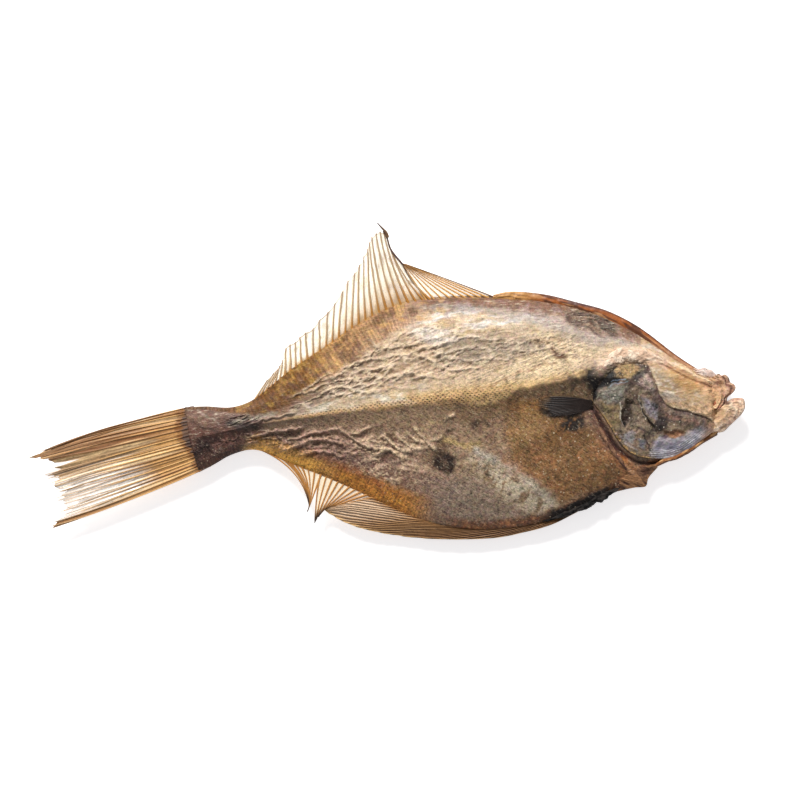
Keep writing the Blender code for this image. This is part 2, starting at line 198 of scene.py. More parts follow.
def wander(x, y, reach, size, seed):
    """The same points, each shifted by up to `reach` mm by two clouds."""
    return (
        x + (cloud(x, y, size, seed) - 0.5) * 2 * reach,
        y + (cloud(x, y, size, seed + 40) - 0.5) * 2 * reach,
    )


# %% [markdown]
# ## The trunk's shape
# In plan the fish is three curves: its belly, its back and the ridge of the backbone. In
# section it is a low roof, and underneath a shallow keel that ends in a flat resting spot.
# Columns run from the tail's root to the mouth, and each column is a closed loop of points,
# so the skin is a grid that closes on itself. These are the CAD's own stations. A sculpted
# mesh could have the same form, but stations can be changed one number at a time.

# %% Stations of the trunk, in mm
BACK = [
    (-87, -10.7), (-78, -10.4), (-67, -10.7), (-59, -8), (-51.5, -2.4), (-42.5, 5), (-28.5, 14.5),
    (-14.5, 24.4), (-4, 30.3), (6.5, 34), (21, 36), (46, 36.2), (71.5, 33.6), (91, 27.7), (105, 20.2),
    (122, 8.6), (131, 3.2), (138, 0.4), (143, -3.4),
]
BELLY = [
    (-81, -38.3), (-75, -35.2), (-67.5, -31), (-57.5, -28.8), (-42, -34.8), (-29, -39.8), (-12, -47.2),
    (-3, -51.8), (9.7, -57.3), (22.6, -60.8), (40, -62.4), (57, -60.8), (71.5, -57.3), (82, -52.8),
    (93.5, -46.9), (104, -41), (112, -36.4), (121, -32.2), (131, -26.8), (141, -21),
]
RIDGE = [
    (-85, -24.2), (-72, -21.4), (-53, -17.4), (-14, -11.9), (29, -6.6), (50, -3.5), (72, 0.3), (84, 2.2),
    (97, 0.5), (110, -3), (125, -7), (142, -11),
]
RIDGE_RISE = [
    (-87, 0.8), (-80, 2.4), (-67, 4.9), (-50, 7), (-20, 9.4), (20, 11.2), (60, 11.8), (88, 10.6),
    (105, 8.8), (120, 7.2), (132, 6), (139, 4.8), (143, 3.2),
]
KEEL_DROP = [
    (-87, 0.8), (-80, 1.8), (-67, 3.4), (-50, 4.6), (-25, 6.2), (0, 7.2), (30, 7.8), (72, 7.4), (90, 6.2),
    (105, 4.8), (125, 4.3), (143, 2.6),
]
BACK_SECTION = [
    (0, 0), (0.05, 0.13), (0.16, 0.27), (0.25, 0.50), (0.36, 0.68), (0.55, 0.80), (0.80, 0.92), (1, 1),
]
BELLY_SECTION = [
    (0, 0), (0.05, 0.13), (0.14, 0.27), (0.27, 0.47), (0.50, 0.62), (0.74, 0.72), (0.90, 0.85), (1, 1),
]
EDGE_HEIGHT = 6.2
SNOUT_FROM, SNOUT_FULL = 112.0, 136.0


# %% Height of the bare trunk
def flank(x, y):
    """Where a point lies across the fish: 1 at the back, 0 on the ridge and -1 at the belly."""
    back, belly, ridge = through(BACK, x), through(BELLY, x), through(RIDGE, x)
    up = (y - ridge) / (back - ridge)
    return np.clip(np.where(y >= ridge, up, (y - ridge) / (ridge - belly)), -1, 1)


def trunk_top(x, y):
    """Height of the blind side: edge height plus the ridge's rise times the section's share."""
    v = flank(x, y)
    share = 1 - np.abs(v)
    section = np.where(v >= 0, through(BACK_SECTION, share), through(BELLY_SECTION, share))
    full = np.sqrt(share * (2 - share))
    section = section + (full - section) * ease(x, SNOUT_FROM, SNOUT_FULL)
    return EDGE_HEIGHT + through(RIDGE_RISE, x) * section


def trunk_keel(x, y):
    """Height of the eyed side: edge height less the keel's drop, cut off flat at the floor."""
    share = 1 - np.abs(flank(x, y))
    return np.maximum(EDGE_HEIGHT - through(KEEL_DROP, x) * np.sin(share * math.pi / 2) ** 0.8, 0)


print("ridge height at x=60:", round(float(trunk_top(np.array(60.0), np.array(-1.6))), 1), "mm")

# %% [markdown]
# ## Folds in the skin
# Dried skin has three kinds of relief: long winding crests where it has slackened, a fine
# hatching over the muscles at the fins' roots, and the plates, slits and bars of the head.
# Each is a height to add to the bare trunk, faded in where the real fish has it. The boldest
# crests are placed one by one, and the crowd between them is counted out by a function. One
# noise texture as displacement would be quicker, but it wouldn't run along the backbone or
# stop at the cheek.


# %% Distance from the edges
def edge_frame(stations, x, y, samples=420):
    """For each point, its distance in mm from an edge curve and how far along that curve the
    nearest place lies."""
    ex = np.linspace(stations[0][0], stations[-1][0], samples)
    ey = through(stations, ex)
    way = np.concatenate([[0], np.cumsum(np.hypot(np.diff(ex), np.diff(ey)))])
    best, at = np.full(np.shape(x), 1e9), np.zeros(np.shape(x))
    for px, py, length in zip(ex, ey, way):
        square = (x - px) ** 2 + (y - py) ** 2
        at = np.where(square < best, length, at)
        best = np.minimum(best, square)
    return np.sqrt(best), at


def smooth(path, count=24):
    """A path of many short pieces through a few places."""
    return along(path, np.linspace(0, 1, count)).tolist()


# %% Lines and patches of the head, in mm
CHEEK_EDGE = smooth([
    (104.5, 12.5), (106.8, 9.4), (108.4, 6), (110.2, 2), (112, -2.6), (113.9, -7.6), (116.4, -10.4),
    (122, -12.1), (127.1, -13.1), (132.7, -14.9), (136.4, -17.5), (139, -21),
])
CHEEK = CHEEK_EDGE + [(150, -24), (150, 20), (110, 30)]
BROW = smooth([
    (103.5, 9.8), (108, 11.2), (112, 10.7), (117.7, 8), (123.4, 5.6), (128.9, 2.6), (133.6, 0.6),
    (138.2, -0.9),
])
BROW_GROOVE = smooth([(113.5, 7.6), (117.5, 5.4), (121.3, 3.5), (126.4, 1), (131.5, -1.1), (136.5, -2.6)])
NECK_FOLD = smooth([
    (88, 5.6), (91.5, 8.4), (96, 10.8), (100.5, 11.4), (105.5, 10.8), (110, 10), (114.4, 8.6),
])
GILL_SLIT = smooth([
    (84, -9.6), (87.4, -15.3), (90.7, -20.4), (94.1, -26), (98.5, -30.6), (103.6, -33.6), (109.5, -34.6),
    (113.7, -34.4),
])
GIRDLE = smooth([(85, -13), (88.4, -20.4), (93.2, -28.6), (98.6, -35), (104, -40.4), (107.6, -43.4)])
GIRDLE_LOW = smooth([(95.6, -30.6), (100.6, -34.8), (105.5, -38), (108.6, -42)])
BELLY_CAVITY = [
    (48.3, -20.4), (63.1, -17.8), (84.4, -18.4), (94.7, -30.8), (105.3, -40.4), (92.6, -45.7),
    (71.5, -51.5), (66, -46), (58, -38.5), (50, -31.5),
]
GILL = smooth([
    (85.2, -8.8), (90.9, -16.6), (95.6, -24.4), (100.5, -29.4), (105.5, -31.6), (112, -32.4), (120, -31.9),
    (126, -28.7), (131.4, -24.5), (135.8, -20.9), (136.8, -18.4), (133, -13.4), (125, -10.4), (118.6, -8.4),
    (115.4, -4), (112.8, 1.4), (109.8, 5.6), (105.6, 7.4), (100.5, 7.4), (96, 6.4), (92.2, 4), (89, 0.6),
    (86.6, -2.8), (85, -6.2), (85.2, -8.8),
], 90)[:-1]

# %% Crests placed one by one, in mm
UPPER_CRESTS = [smooth(path, 16) for path in (
    [(-21.3, 4.5), (-16.7, 7.1), (-11.3, 8.8), (-4.4, 9.7), (1.9, 11.3), (6.1, 11.8), (12.4, 10.9),
     (16.7, 9.2), (19.8, 7.1), (23, 5.5), (26.2, 5), (30.9, 5.5), (37.8, 5.5)],
    [(-9.7, 18.1), (-6.5, 15.1), (-3.4, 12.3)],
    [(-2.7, 13.8), (4, 14.5), (9.3, 15.5), (12.4, 16.8)],
    [(10.8, 12.6), (14.1, 14.7), (20.9, 15.5), (26, 16.4)],
    [(-16.2, 3.3), (-11.3, 5), (-4.4, 5.5), (3, 5.5)],
    [(-29.8, 0.3), (-21.8, 2.8), (-16.7, 5.5)],
    [(-16.7, 0.3), (-9.7, 1.8), (-0.2, 1.8), (7.2, 3.9), (14.1, 2.4), (19.2, 2)],
    [(-28.9, -4.7), (-24.7, -2.6), (-20.3, -2.4), (-13.9, -3.5)],
    [(-19.2, -6), (-14.6, -3.9), (-7.8, -4.7), (-2.7, -3.1)],
    [(-38.2, -4.3), (-33.1, -1.8), (-28.9, 1.6), (-23.8, 4.1)],
    [(-43.3, -6.9), (-38.2, -4.7), (-33.1, -3.9), (-28.1, -0.9)],
    [(26, 16.4), (30.2, 18.5), (36.1, 18.9), (42, 17.2), (46.2, 18.5)],
    [(16.7, 13.4), (22.6, 12.1), (28.5, 13.8), (34.4, 14.7), (41.1, 13.4)],
    [(20.9, 9.2), (27.2, 10), (33.5, 8.8), (40.3, 10), (45.4, 8.8)],
)]
LOWER_CRESTS = [smooth(path, 12) for path in (
    [(-27.6, -21.2), (-22.6, -19.8), (-17.1, -23.1), (-11.2, -26.7), (-6.2, -28.4), (-0.2, -28.4),
        (3.4, -29.6)],
    [(-17.1, -21.9), (-12.3, -21.2), (-8.1, -19.1)],
    [(-3.8, -22.5), (1, -26.1), (5.8, -29.1), (9.9, -29.1)],
    [(2.2, -21.9), (5.2, -25.4), (8.8, -27.3), (15.4, -27.9)],
    [(7, -21.2), (9.9, -24.2), (14.1, -26.1)],
    [(9.7, -18.8), (12.4, -21.9), (15.4, -25.4), (20.3, -29.6)],
    [(16.7, -24.9), (21.5, -23.1)],
    [(22.7, -16.1), (26.9, -13.7)],
    [(-44.1, -25), (-36.5, -22.8), (-31.6, -21.2), (-24.3, -21)],
    [(-44.9, -28.8), (-38.8, -26.7), (-31.6, -24.2), (-24.3, -24.9), (-18.8, -27.1)],
    [(-38.2, -30.9), (-31.6, -29.2), (-25.5, -29.6), (-20.5, -31.8)],
    [(-58.4, -23.3), (-50.9, -21.2), (-43.3, -20.4), (-36.5, -19.5)],
    [(-60.1, -18.3), (-54.2, -16.1), (-46.6, -14.5), (-39.9, -12.8)],
    [(-6.5, -30.9), (-1.9, -28.4), (3.2, -30.9), (4.9, -33.9)],
)]
RIM_BAND = [(6, 2), (24, 3.2), (40, 4.6), (62, 6.6), (80, 8), (96, 6), (112, 4)]
FIN_ROOT_WIDTH = [(-87, 1), (-62, 4), (-54, 9), (-44, 12.5), (-17, 12.5), (5, 12), (30, 9), (60, 6)]


# %% Crests that are counted out
def placed_crests(paths, x, y, width):
    """The nearest of several lines as a soft ridge from 0 to 1, thinner at the lines' ends."""
    best = np.zeros(x.shape)
    for path in paths:
        left, right = path[0][0], path[-1][0]
        taper = ease(x, left - 1, left + 3) * ease(x, right + 1, right - 3)
        best = np.maximum(best, near(path, x, y, width) * (0.3 + 0.7 * taper))
    return best


def fold_fields(x, v, from_back):
    """How strongly the skin is folded above the ridge and below it, each from 0 to 1."""
    above = ease(x, -78, -60) * ease(x, 100, 66) * ease(v, 0.04, 0.2)
    above = above * ease(from_back / through(FIN_ROOT_WIDTH, x), 0.8, 1.2)
    above = above * (1 - 0.9 * ease(x, 8, 34) * ease(v, 0.34, 0.14))
    above = above * (1 - 0.6 * ease(x, 30, 50) * ease(v, 0.5, 0.7))
    above = above * (1 - 0.3 * ease(x, 22, 48))
    above = above * (1 - 0.5 * ease(v, 0.3, 0.12) * ease(x, -48, -30))
    below = ease(x, -86, -70) * ease(x, 26, -4) * ease(-v, 0.1, 0.4) * ease(-v, 0.86, 0.66)
    return above, below


def fold_maps(x, y):
    """Coarse and fine crests above the backbone, and crests below it. They run along the
    backbone, and steeper towards the tail."""
    across = y - through(RIDGE, x) - 0.22 * np.minimum(x - 10, 0)
    coarse = np.maximum(wrinkles(x, across, 15, 3.2, 3), 0.9 * wrinkles(x, across, 12, 2.6, 17))
    fine = np.maximum(wrinkles(x, across, 5.5, 1.8, 31), wrinkles(x, across, 5, 1.6, 43))
    level = y - through(RIDGE, x) + 0.2 * np.maximum(x + 30, 0)
    lower = np.maximum(wrinkles(x, level, 10, 2.8, 57), 0.8 * wrinkles(x, level, 6, 2, 71))
    return coarse, fine, lower


# %% Relief of the trunk
def relief(x, y, from_back):
    """Height in mm that folds and the head's forms add to the bare blind side, how near each point
    is to a crest, and how folded the skin is above and below the backbone."""
    v = flank(x, y)
    side = 1 - np.abs(v)
    above, below = fold_fields(x, v, from_back)
    above = np.maximum(above, inside(BRUISE, x, y, 2))
    coarse, fine, lower = fold_maps(x, y)
    wx, wy = wander(x, y, 0.8, 2.4, 61)
    bold = placed_crests(UPPER_CRESTS, wx, wy, 0.6) * ease(from_back, 4, 8)
    bold *= 0.55 + 0.45 * ease(cloud(x, y, 2.6, 65), 0.4, 0.6)
    bold_low = (
        placed_crests(LOWER_CRESTS, *wander(x, y, 0.8, 2, 63), 0.5)
        * (0.75 + 0.25 * ease(cloud(x, y, 2.2, 67), 0.4, 0.6))
    )
    right = ease(x, 14, 34)
    height = above * (coarse * (0.85 - 0.25 * right) + fine * 0.5 - 0.4)
    height += 0.9 * bold + 1.45 * bold_low + below * (0.6 * lower + 0.25 * fine - 0.2)
    height += (
        (cloud(x, y, 15, 71) - 0.5) * 1.2 * ease(side, 0.02, 0.25) + (cloud(x, y, 2.2, 73) - 0.5) * 0.3
    )
    crest = np.maximum(above * np.maximum(coarse, 0.8 * fine), below * np.maximum(0.8 * lower, 0.5 * fine))
    crest = np.maximum(crest, np.maximum(bold, bold_low))
    height += head_relief(x, y) - 0.7 * spot(x, y, (62.2, 15.5), 2.2)
    return height * ease(side, 0, 0.04), crest, above, below


def head_relief(x, y):
    """The cheek's step, the brow's ridges, the neck's folds, the gill slit and the girdle."""
    wx, wy = wander(x, y, 0.5, 2.6, 83)
    cheek = inside(CHEEK, wx, wy, 0.45)
    height = 1.1 * cheek * ease(y, 10, 6) - 0.8 * inside(GILL, x, y, 1.6) * (1 - cheek)
    height += cheek * (0.7 * (cloud(x, y, 6, 85) - 0.5) + 0.35 * (cloud(x * 0.7, y, 1.8, 87) - 0.5))
    height += cheek * 1.1 * (cloud(x, y, 3.2, 89) - 0.5) * ease(x, 124, 134)
    height += (
        0.8 * near(BROW, wx, wy, 0.6) * (0.5 + cloud(x, y, 1.6, 91)) - 0.6 * near(BROW_GROOVE, wx, wy, 0.5)
    )
    height += 0.8 * near(NECK_FOLD, wx, wy, 2.4)
    height -= 1.3 * near(GILL_SLIT, x, y, 0.8)
    height += 1.1 * near(GIRDLE, wx, wy, 1) + 0.5 * near(GIRDLE_LOW, wx, wy, 0.7)
    height -= 3.2 * ease(wx + 3.6 * (cloud(x, y, 2.4, 93) - 0.5), 133.4, 138.6)
    return height + 0.5 * inside(BELLY_CAVITY, x, y, 4)


# %% [markdown]
# ## Painting with outlines
# The colours of a dried fish change from place to place: cream over the muscle, golden at the
# fins' roots, mauve and umber below, black where the gut and the gills were. Each patch is an
# outline with a colour. `coats` lays them over one another as a painter glazes, lowest first,
# and the result is stored on the mesh as a colour attribute that the shader reads. The shader
# adds everything finer. A painted picture on an unwrapped mesh could do the same, but an
# outline is moved by changing a number.


# %% Colour helpers
def dye(red, green, blue):
    """A screen colour of 0 to 255 turned into light: the sRGB curve undone."""
    c = np.array([red, green, blue]) / 255
    return np.where(c <= 0.04045, c / 12.92, ((c + 0.055) / 1.055) ** 2.4)


def glaze(under, over, amount):
    """The colour `over` laid on `under`, as thick as `amount` from 0 to 1."""
    return under + (over - under) * np.asarray(amount)[..., None]


def plain(red, green, blue, like):
    """One colour for every point of a grid."""
    return np.broadcast_to(dye(red, green, blue), np.shape(like) + (3,))


def coats(colour, *layers):
    """Glazes laid one on another in the order given, each a screen colour and its thickness."""
    for tone, amount in layers:
        colour = glaze(colour, dye(*tone), amount)
    return colour


# %% Patches of colour on the trunk, in mm
PEARL = [
    (6, 23), (20.9, 29.1), (37.8, 32), (58.9, 31.8), (80, 27.9), (94.7, 21.8), (106, 14.5), (88.4, 15.5),
    (71.5, 19.3), (50.4, 21.8), (33.5, 19.3), (16.7, 15.5),
]
STRAW = [(58, 25.2), (70, 24.2), (80, 23.9), (84.2, 18.5), (71.5, 15.5), (61, 18.5)]
CREAM = [(42, 3), (63, 12.5), (88, 22), (105, 15.5), (98, 13), (87, 10.5), (78, 6), (66, 3), (46, 0)]
BRUISE = [
    (74, 29.4), (82.1, 31.4), (88.4, 29.2), (95, 25.4), (95.5, 20.2), (86.7, 19.6), (80, 22.2), (75, 25.2),
]
NAPE = [(92, 18), (104, 14), (122, 6), (120, 3), (104, 10), (90, 12)]
GREY_FOLDS = [(18, 14.5), (37.8, 19.3), (63.1, 17.6), (71.5, 13.4), (54.6, 10.9), (33.5, 7.3), (20.9, 7.3)]
ASH = [
    (26, -29), (33.5, -30.6), (42.1, -34.2), (51.6, -38.9), (63.2, -42.9), (70.7, -47.7), (75.7, -53.3),
    (67.3, -56.7), (54.6, -54.1), (46.2, -49.1), (39.9, -42.3), (31.4, -35.6),
]
DUSK = [(47, -9), (60, -6), (80, -11), (82, -19), (66, -27), (52, -23)]
ASH_CORE = [
    (34.6, -31.5), (46, -35.6), (54, -42.6), (63.2, -47.8), (68, -53.5), (60.2, -54.5), (52.8, -49),
    (46.4, -44.7), (38, -37),
]
MAUVE = [
    (-46, -26), (-30, -23), (-8, -26), (4, -30.9), (24, -40), (28, -50), (12, -52), (4, -45.7),
    (-17.1, -37.2), (-38.2, -32.2),
]
SMOKE = [
    (50.4, -6), (56.8, -3.4), (65.2, -0.6), (73.6, 1.2), (80, 2.4), (83.3, 4.1), (88.4, 6.4), (92.6, 6.4),
    (90.1, 1.6), (86.7, -2.6), (84.2, -9.7), (77.9, -7), (67.3, -6), (58.9, -6.9),
]
SOOT = [
    (83.4, -3.6), (80.6, -0.6), (80.4, 2.2), (83, 5.4), (87.6, 8.2), (93, 8.6), (97, 2.7), (90.7, -3.5),
    (87, -7.5),
]
FIN_STAIN = [(66, -7), (57, -7.6), (52.5, -10.1), (55, -16.5), (68, -16.5)]
FIN_SHADE = [(62.5, -8), (72, -6.8), (84, -8.2), (84.4, -11.6), (74, -14.8), (64, -15.2)]
FIN_SOOT = [(75, -13.8), (81, -12.4), (82, -17.8), (79.3, -20.8), (73.2, -21.2), (71.2, -18.2)]
BLOTCH = [
    (18.2, -31), (20, -27.2), (23, -29.4), (27.4, -31.4), (28, -35), (26.4, -38.4), (20.9, -38.2),
    (17.6, -35.4),
]
CHEEK_OCHRE = [(119, 4), (127.2, 2.4), (131.5, -1.8), (126.4, -4.3), (120, -0.6)]
CHEEK_GREEN = [(110.5, 4.6), (117, 2.4), (121, -3), (118, -8.6), (114, -6), (112.6, -0.4)]
SNOUT_TAN = [(130, 0), (140, 1), (141, -6), (136, -6.6), (131, -4.6)]


# %% Colours above the backbone
def streaks(x, y, length, width, seed, low, high):
    """Patches from 0 to 1 that are stretched along the fish."""
    return ease(cloud(x * width / length, y - 0.12 * x, width, seed), low, high)


def paint_upper(x, y, v, from_back):
    """Cream over the muscle, with pearl, lilac, straw and golden patches, and painted sheen streaks on the
    pearl patch.
    """
    wx, wy = wander(x, y, 2.2, 7, 101)
    pearl = inside(PEARL, wx, wy, 3)
    down = (from_back + 3.0 * (cloud(x, y, 4, 94) - 0.5)) / through(RIM_BAND, x)
    under_rim = ease(x, 0, 16) * ease(x, 114, 98)
    bruise = inside(BRUISE, wx, wy, 1.6)
    root = from_back / through(FIN_ROOT_WIDTH, x)
    band = ease(root + 0.5 * (cloud(x, y, 5, 109) - 0.5), 1.15, 0.75) * ease(x, 60, 0)
    purple = band * ease(cloud(x, y, 4, 111), 0.5, 0.64) * ease(root, 0.3, 0.7) * ease(x, 0, -26)
    gold = band * ease(root + 0.5 * (cloud(x, y, 4, 113) - 0.5) + 0.012 * (x + 44), 1.1, 0.6)
    gold = gold * (1 - 0.8 * ease(x, -38, -22)) * ease(x, 14, -16)
    tail = ease(x, -38 + 10 * v, -66)
    return coats(plain(200, 172, 142, x),
        ((176, 142, 104), 0.5 * streaks(wx, wy, 9, 2.6, 99, 0.5, 0.68)),
        ((206, 184, 154), 0.85 * ease(v, 0.26, 0.04) * ease(x, -48, -20)),
        ((206, 168, 112), 0.8 * ease(v, 0.18, 0.04) * ease(x, -16, 10)),
        ((234, 226, 210), 0.7 * ease(v, 0.36, 0.1) * ease(x, -46, -30) * ease(x, 20, 6)
            * ease(cloud(wx * 0.5, wy, 3, 97), 0.46, 0.6)),
        ((156, 140, 122), 0.8 * inside(GREY_FOLDS, wx, wy, 3)),
        ((204, 184, 160), 0.9 * pearl),
        # Painted sheen: pale blue-white streaks across the pearl patch.
        ((228, 222, 218), 0.9 * pearl * streaks(wx, wy, 16, 2.4, 103, 0.38, 0.56)),
        ((208, 176, 128), 0.7 * pearl * streaks(wx, wy, 12, 2.4, 105, 0.5, 0.66)),
        ((206, 176, 124), 0.6 * inside(STRAW, wx, wy, 3)),
        ((232, 206, 168), 0.8 * inside(CREAM, wx, wy, 3)),
        ((160, 150, 148), 0.75 * under_rim * ease(down, 2.3, 1.4)),
        ((134, 98, 78), 0.9 * under_rim * ease(down, 1.3, 0.7)),
        ((176, 150, 142), 0.6 * under_rim * ease(down, 1.5, 1) * ease(cloud(x, y, 2, 106), 0.52, 0.64)),
        ((116, 78, 54), 0.75 * under_rim * ease(from_back, 4.5, 1)),
        ((128, 104, 88), 0.85 * bruise),
        ((56, 42, 42), 0.9 * bruise * streaks(wx, wy + 0.5 * wx, 7, 1.3, 107, 0.44, 0.54)),
        ((214, 188, 150), 0.6 * inside(NAPE, wx, wy, 2)),
        ((176, 138, 110), band * ease(x, -30, 0) * ease(x, 20, 4)),
        ((190, 146, 98), band * ease(x, 8, -20)),
        ((108, 74, 46), 0.7 * band * ease(cloud(x, y, 5, 119), 0.52, 0.66)),
        ((206, 160, 98), 0.6 * band * ease(cloud(x * 0.7, y, 3, 121), 0.56, 0.7)),
        ((126, 92, 76), 0.8 * purple),
        ((124, 80, 26), 0.97 * gold),
        ((108, 68, 16), 0.9 * gold * ease(x, -26, -40)),
        ((182, 140, 68), 0.6 * gold * ease(cloud(x, y, 2.4, 115), 0.52, 0.7)),
        ((140, 118, 104), 0.8 * ease(x, -14, -52) * (1 - band)),
        ((92, 58, 48), 0.95 * tail * (1 - 0.8 * gold)),
        ((112, 84, 70), 0.7 * ease(x, -64, -76) * ease(v, 0.2, 0.5)),
    )


# %% Colours below the backbone
def paint_lower(x, y, v, from_belly):
    """Umber skin with mauve, amber, ash, gut-brown and black patches."""
    wx, wy = wander(x, y, 2.4, 6, 131)
    ash = inside(ASH, wx, wy, 3)
    slanted = cloud((wx + wy) * 0.5, (wy - wx) * 1.2, 3.2, 139)
    gut = inside(BELLY_CAVITY, *wander(x, y, 2.5, 9, 151), 2.5)
    edge = from_belly + 2.6 * (cloud(x, y, 3.5, 137) - 0.5)
    amber = ease(edge, 7.2 + 0.07 * (x + 60), 4.4 + 0.05 * (x + 60)) * ease(x, 22, 2) * ease(x, -66, -54)
    russet = ease(edge, 5.4, 2.4) * ease(x, 12, 36)
    return coats(plain(150, 122, 98, x),
        ((112, 84, 62), 0.5 * ease(cloud(wx, wy, 4, 129), 0.52, 0.68)),
        ((150, 124, 98), 0.8 * ease(-v, 0.25, 0.08) * ease(x, 44, 20)),
        ((112, 86, 58), 0.85 * ease(-v, 0.25, 0.08) * ease(x, 14, 40)),
        ((140, 106, 88), 0.85 * inside(MAUVE, wx, wy, 4)),
        ((140, 122, 108), 0.7 * ease(x, 5, 25) * ease(-v, 0.5, 0.7)),
        ((118, 98, 86), 0.6 * ease(x, -8, -40) * ease(-v, 0.4, 0.1)),
        ((172, 150, 124), 0.8 * ash),
        ((208, 194, 170), 0.7 * inside(ASH_CORE, wx, wy, 4) * ease(slanted, 0.4, 0.6)),
        ((118, 90, 64), 0.65 * ash * ease(0.52 - slanted, 0, 0.14)),
        ((136, 100, 64), gut),
        ((112, 82, 52), 0.7 * gut * ease(cloud(x, y, 5, 157), 0.5, 0.65)),
        ((164, 114, 74), 0.6 * gut * ease(cloud(x, y, 4, 159), 0.54, 0.68)),
        ((112, 76, 42), 0.85 * inside(DUSK, wx, wy, 4)),
        ((255, 190, 92), amber * ease(x, -18, -36)),
        ((206, 138, 62), amber * ease(x, -36, -18)),
        ((138, 88, 40), 0.5 * amber * ease(cloud(x, y, 2.6, 141), 0.52, 0.66)),
        ((156, 84, 60), 0.5 * bell(edge, 7.5, 2) * ease(x, -40, -30) * ease(x, 4, -8)),
        ((112, 70, 44), 0.9 * russet),
        ((172, 116, 76), 0.7 * russet * ease(cloud(x, y, 1.6, 143), 0.52, 0.64)),
        ((36, 30, 30), ease(edge, 4.6, 3) * ease(x, 60, 70) * ease(x, 96, 90)),
        ((76, 48, 40), 0.95 * ease(x, -48 + 14 * v, -64)),
    )


# %% Marks that lie over both halves
# Each stain is a path, its colour, its width in mm and the thickness of the coat.
STAINS = [
    ([(-84, -33), (-81, -29), (-77, -27.4)], (36, 18, 16), 2.4, 0.95),
    ([(-80, -25), (-76, -24.5), (-73, -24)], (44, 28, 28), 1.4, 0.8),
    ([(-68, -17.4), (-64, -18.4), (-57, -19)], (46, 40, 40), 1.8, 0.8),
    ([(-73, -27), (-70, -25), (-66, -25.6)], (122, 84, 74), 1.6, 0.7),
    ([(-84, -17), (-78, -19.6), (-73, -21.6)], (66, 44, 38), 0.6, 0.8),
    ([(-66, -16.5), (-58, -15), (-48, -13.2)], (156, 152, 138), 1, 0.5),
    ([(-82, -12.6), (-77, -15), (-72, -17.6)], (168, 146, 132), 0.5, 0.6),
    ([(-86, -14), (-82, -15), (-77, -18)], (140, 112, 94), 1.4, 0.6),
    ([(35.2, -17.8), (36.2, -17.8)], (58, 40, 32), 1.8, 0.85),
    ([(24.4, -20.4), (25.4, -20.4)], (62, 44, 34), 1.5, 0.8),
    ([(22, -24.6), (26, -25.2), (31, -27), (37, -26.4)], (204, 176, 112), 1.1, 0.6),
    ([(21, -24.4), (22.6, -27.4)], (60, 40, 32), 1, 0.7),
    ([(68.4, 13.2), (69.6, 11.2), (72.8, 10.6)], (92, 54, 34), 1, 0.95),
    ([(42, -2.2), (50, 2.2), (61, 6.2), (69.4, 7.9)], (150, 108, 74), 0.5, 0.6),
    ([(34, -18.6), (37, -17.2), (40, -17)], (70, 50, 38), 1.4, 0.6),
    ([(36, -29), (44, -33), (52, -36.4)], (206, 200, 186), 1.5, 0.55),
    ([(48, -33.4), (52, -34.6), (55, -38)], (178, 122, 86), 2.4, 0.5),
    ([(55, -39.5), (61.5, -45.5), (67.5, -50.6)], (220, 208, 188), 1.5, 0.55),
    ([(13, -20.5), (17, -17.4), (22, -17)], (186, 162, 120), 0.8, 0.6),
]

PINHOLES = [(40.7, -38.9), (50, -47.4), (62.6, 15), (58.6, 16.6), (-27, -5.6), (-29.2, -6.4)]


# %% Stains and dark places
def paint_marks(colour, x, y, v):
    """Stains, blotches and the dark places round the gills."""
    wx, wy = wander(x, y, 1.3, 2.4, 171)
    wide = ease(x, 4, 24) * ease(x, 60, 40)
    line = (
        ease(v + 0.06 * (cloud(x, y, 3, 173) - 0.5), -0.04 - 0.03 * wide, 0.0 - 0.02 * wide)
        * ease(v, 0.07 + 0.04 * wide, 0.02)
    )
    sx, sy = wander(x, y, 2.6, 3.4, 169)
    return coats(colour,
        ((190, 148, 98), (0.75 - 0.3 * wide) * line * ease(x, -56, -34) * ease(x, 58, 34)),
        *[(tone, amount * near(path, wx, wy, width)) for path, tone, width, amount in STAINS],
        ((142, 104, 60), 0.7 * inside(FIN_STAIN, wx, wy, 1.8)),
        ((110, 88, 66), 0.92 * inside(SMOKE, sx, sy, 2.2)),
        ((172, 136, 92), 0.6 * bell(wx, 58, 9) * bell(wy, -20, 6)),
        ((34, 27, 28), 0.9 * inside(FIN_SHADE, wx, wy, 1.2)),
        ((60, 48, 40), 0.7 * inside(SMOKE, sx, sy, 1.4) * ease(cloud(x, y, 2.4, 175), 0.46, 0.6)
            * ease(x, 62, 76)),
        ((16, 12, 13), inside(SOOT, wx, wy, 1.4) * (0.75 + 0.25 * ease(cloud(x, y, 2, 179), 0.4, 0.56))),
        ((30, 25, 24), 0.95 * inside(FIN_SOOT, wx, wy, 1.2) * ease(cloud(x, y, 1.8, 177), 0.3, 0.44)),
        ((36, 20, 15), 0.96 * inside(BLOTCH, wx, wy, 0.9)
            * (0.75 + 0.25 * ease(cloud(x, y, 1.8, 181), 0.4, 0.5))),
        *[((58, 38, 28), 0.9 * spot(x, y, place, 0.5)) for place in PINHOLES],
    )


# %% Colours of the head
def shifted(path, dx, dy):
    """The same path moved aside."""
    return [(px + dx, py + dy) for px, py in path]


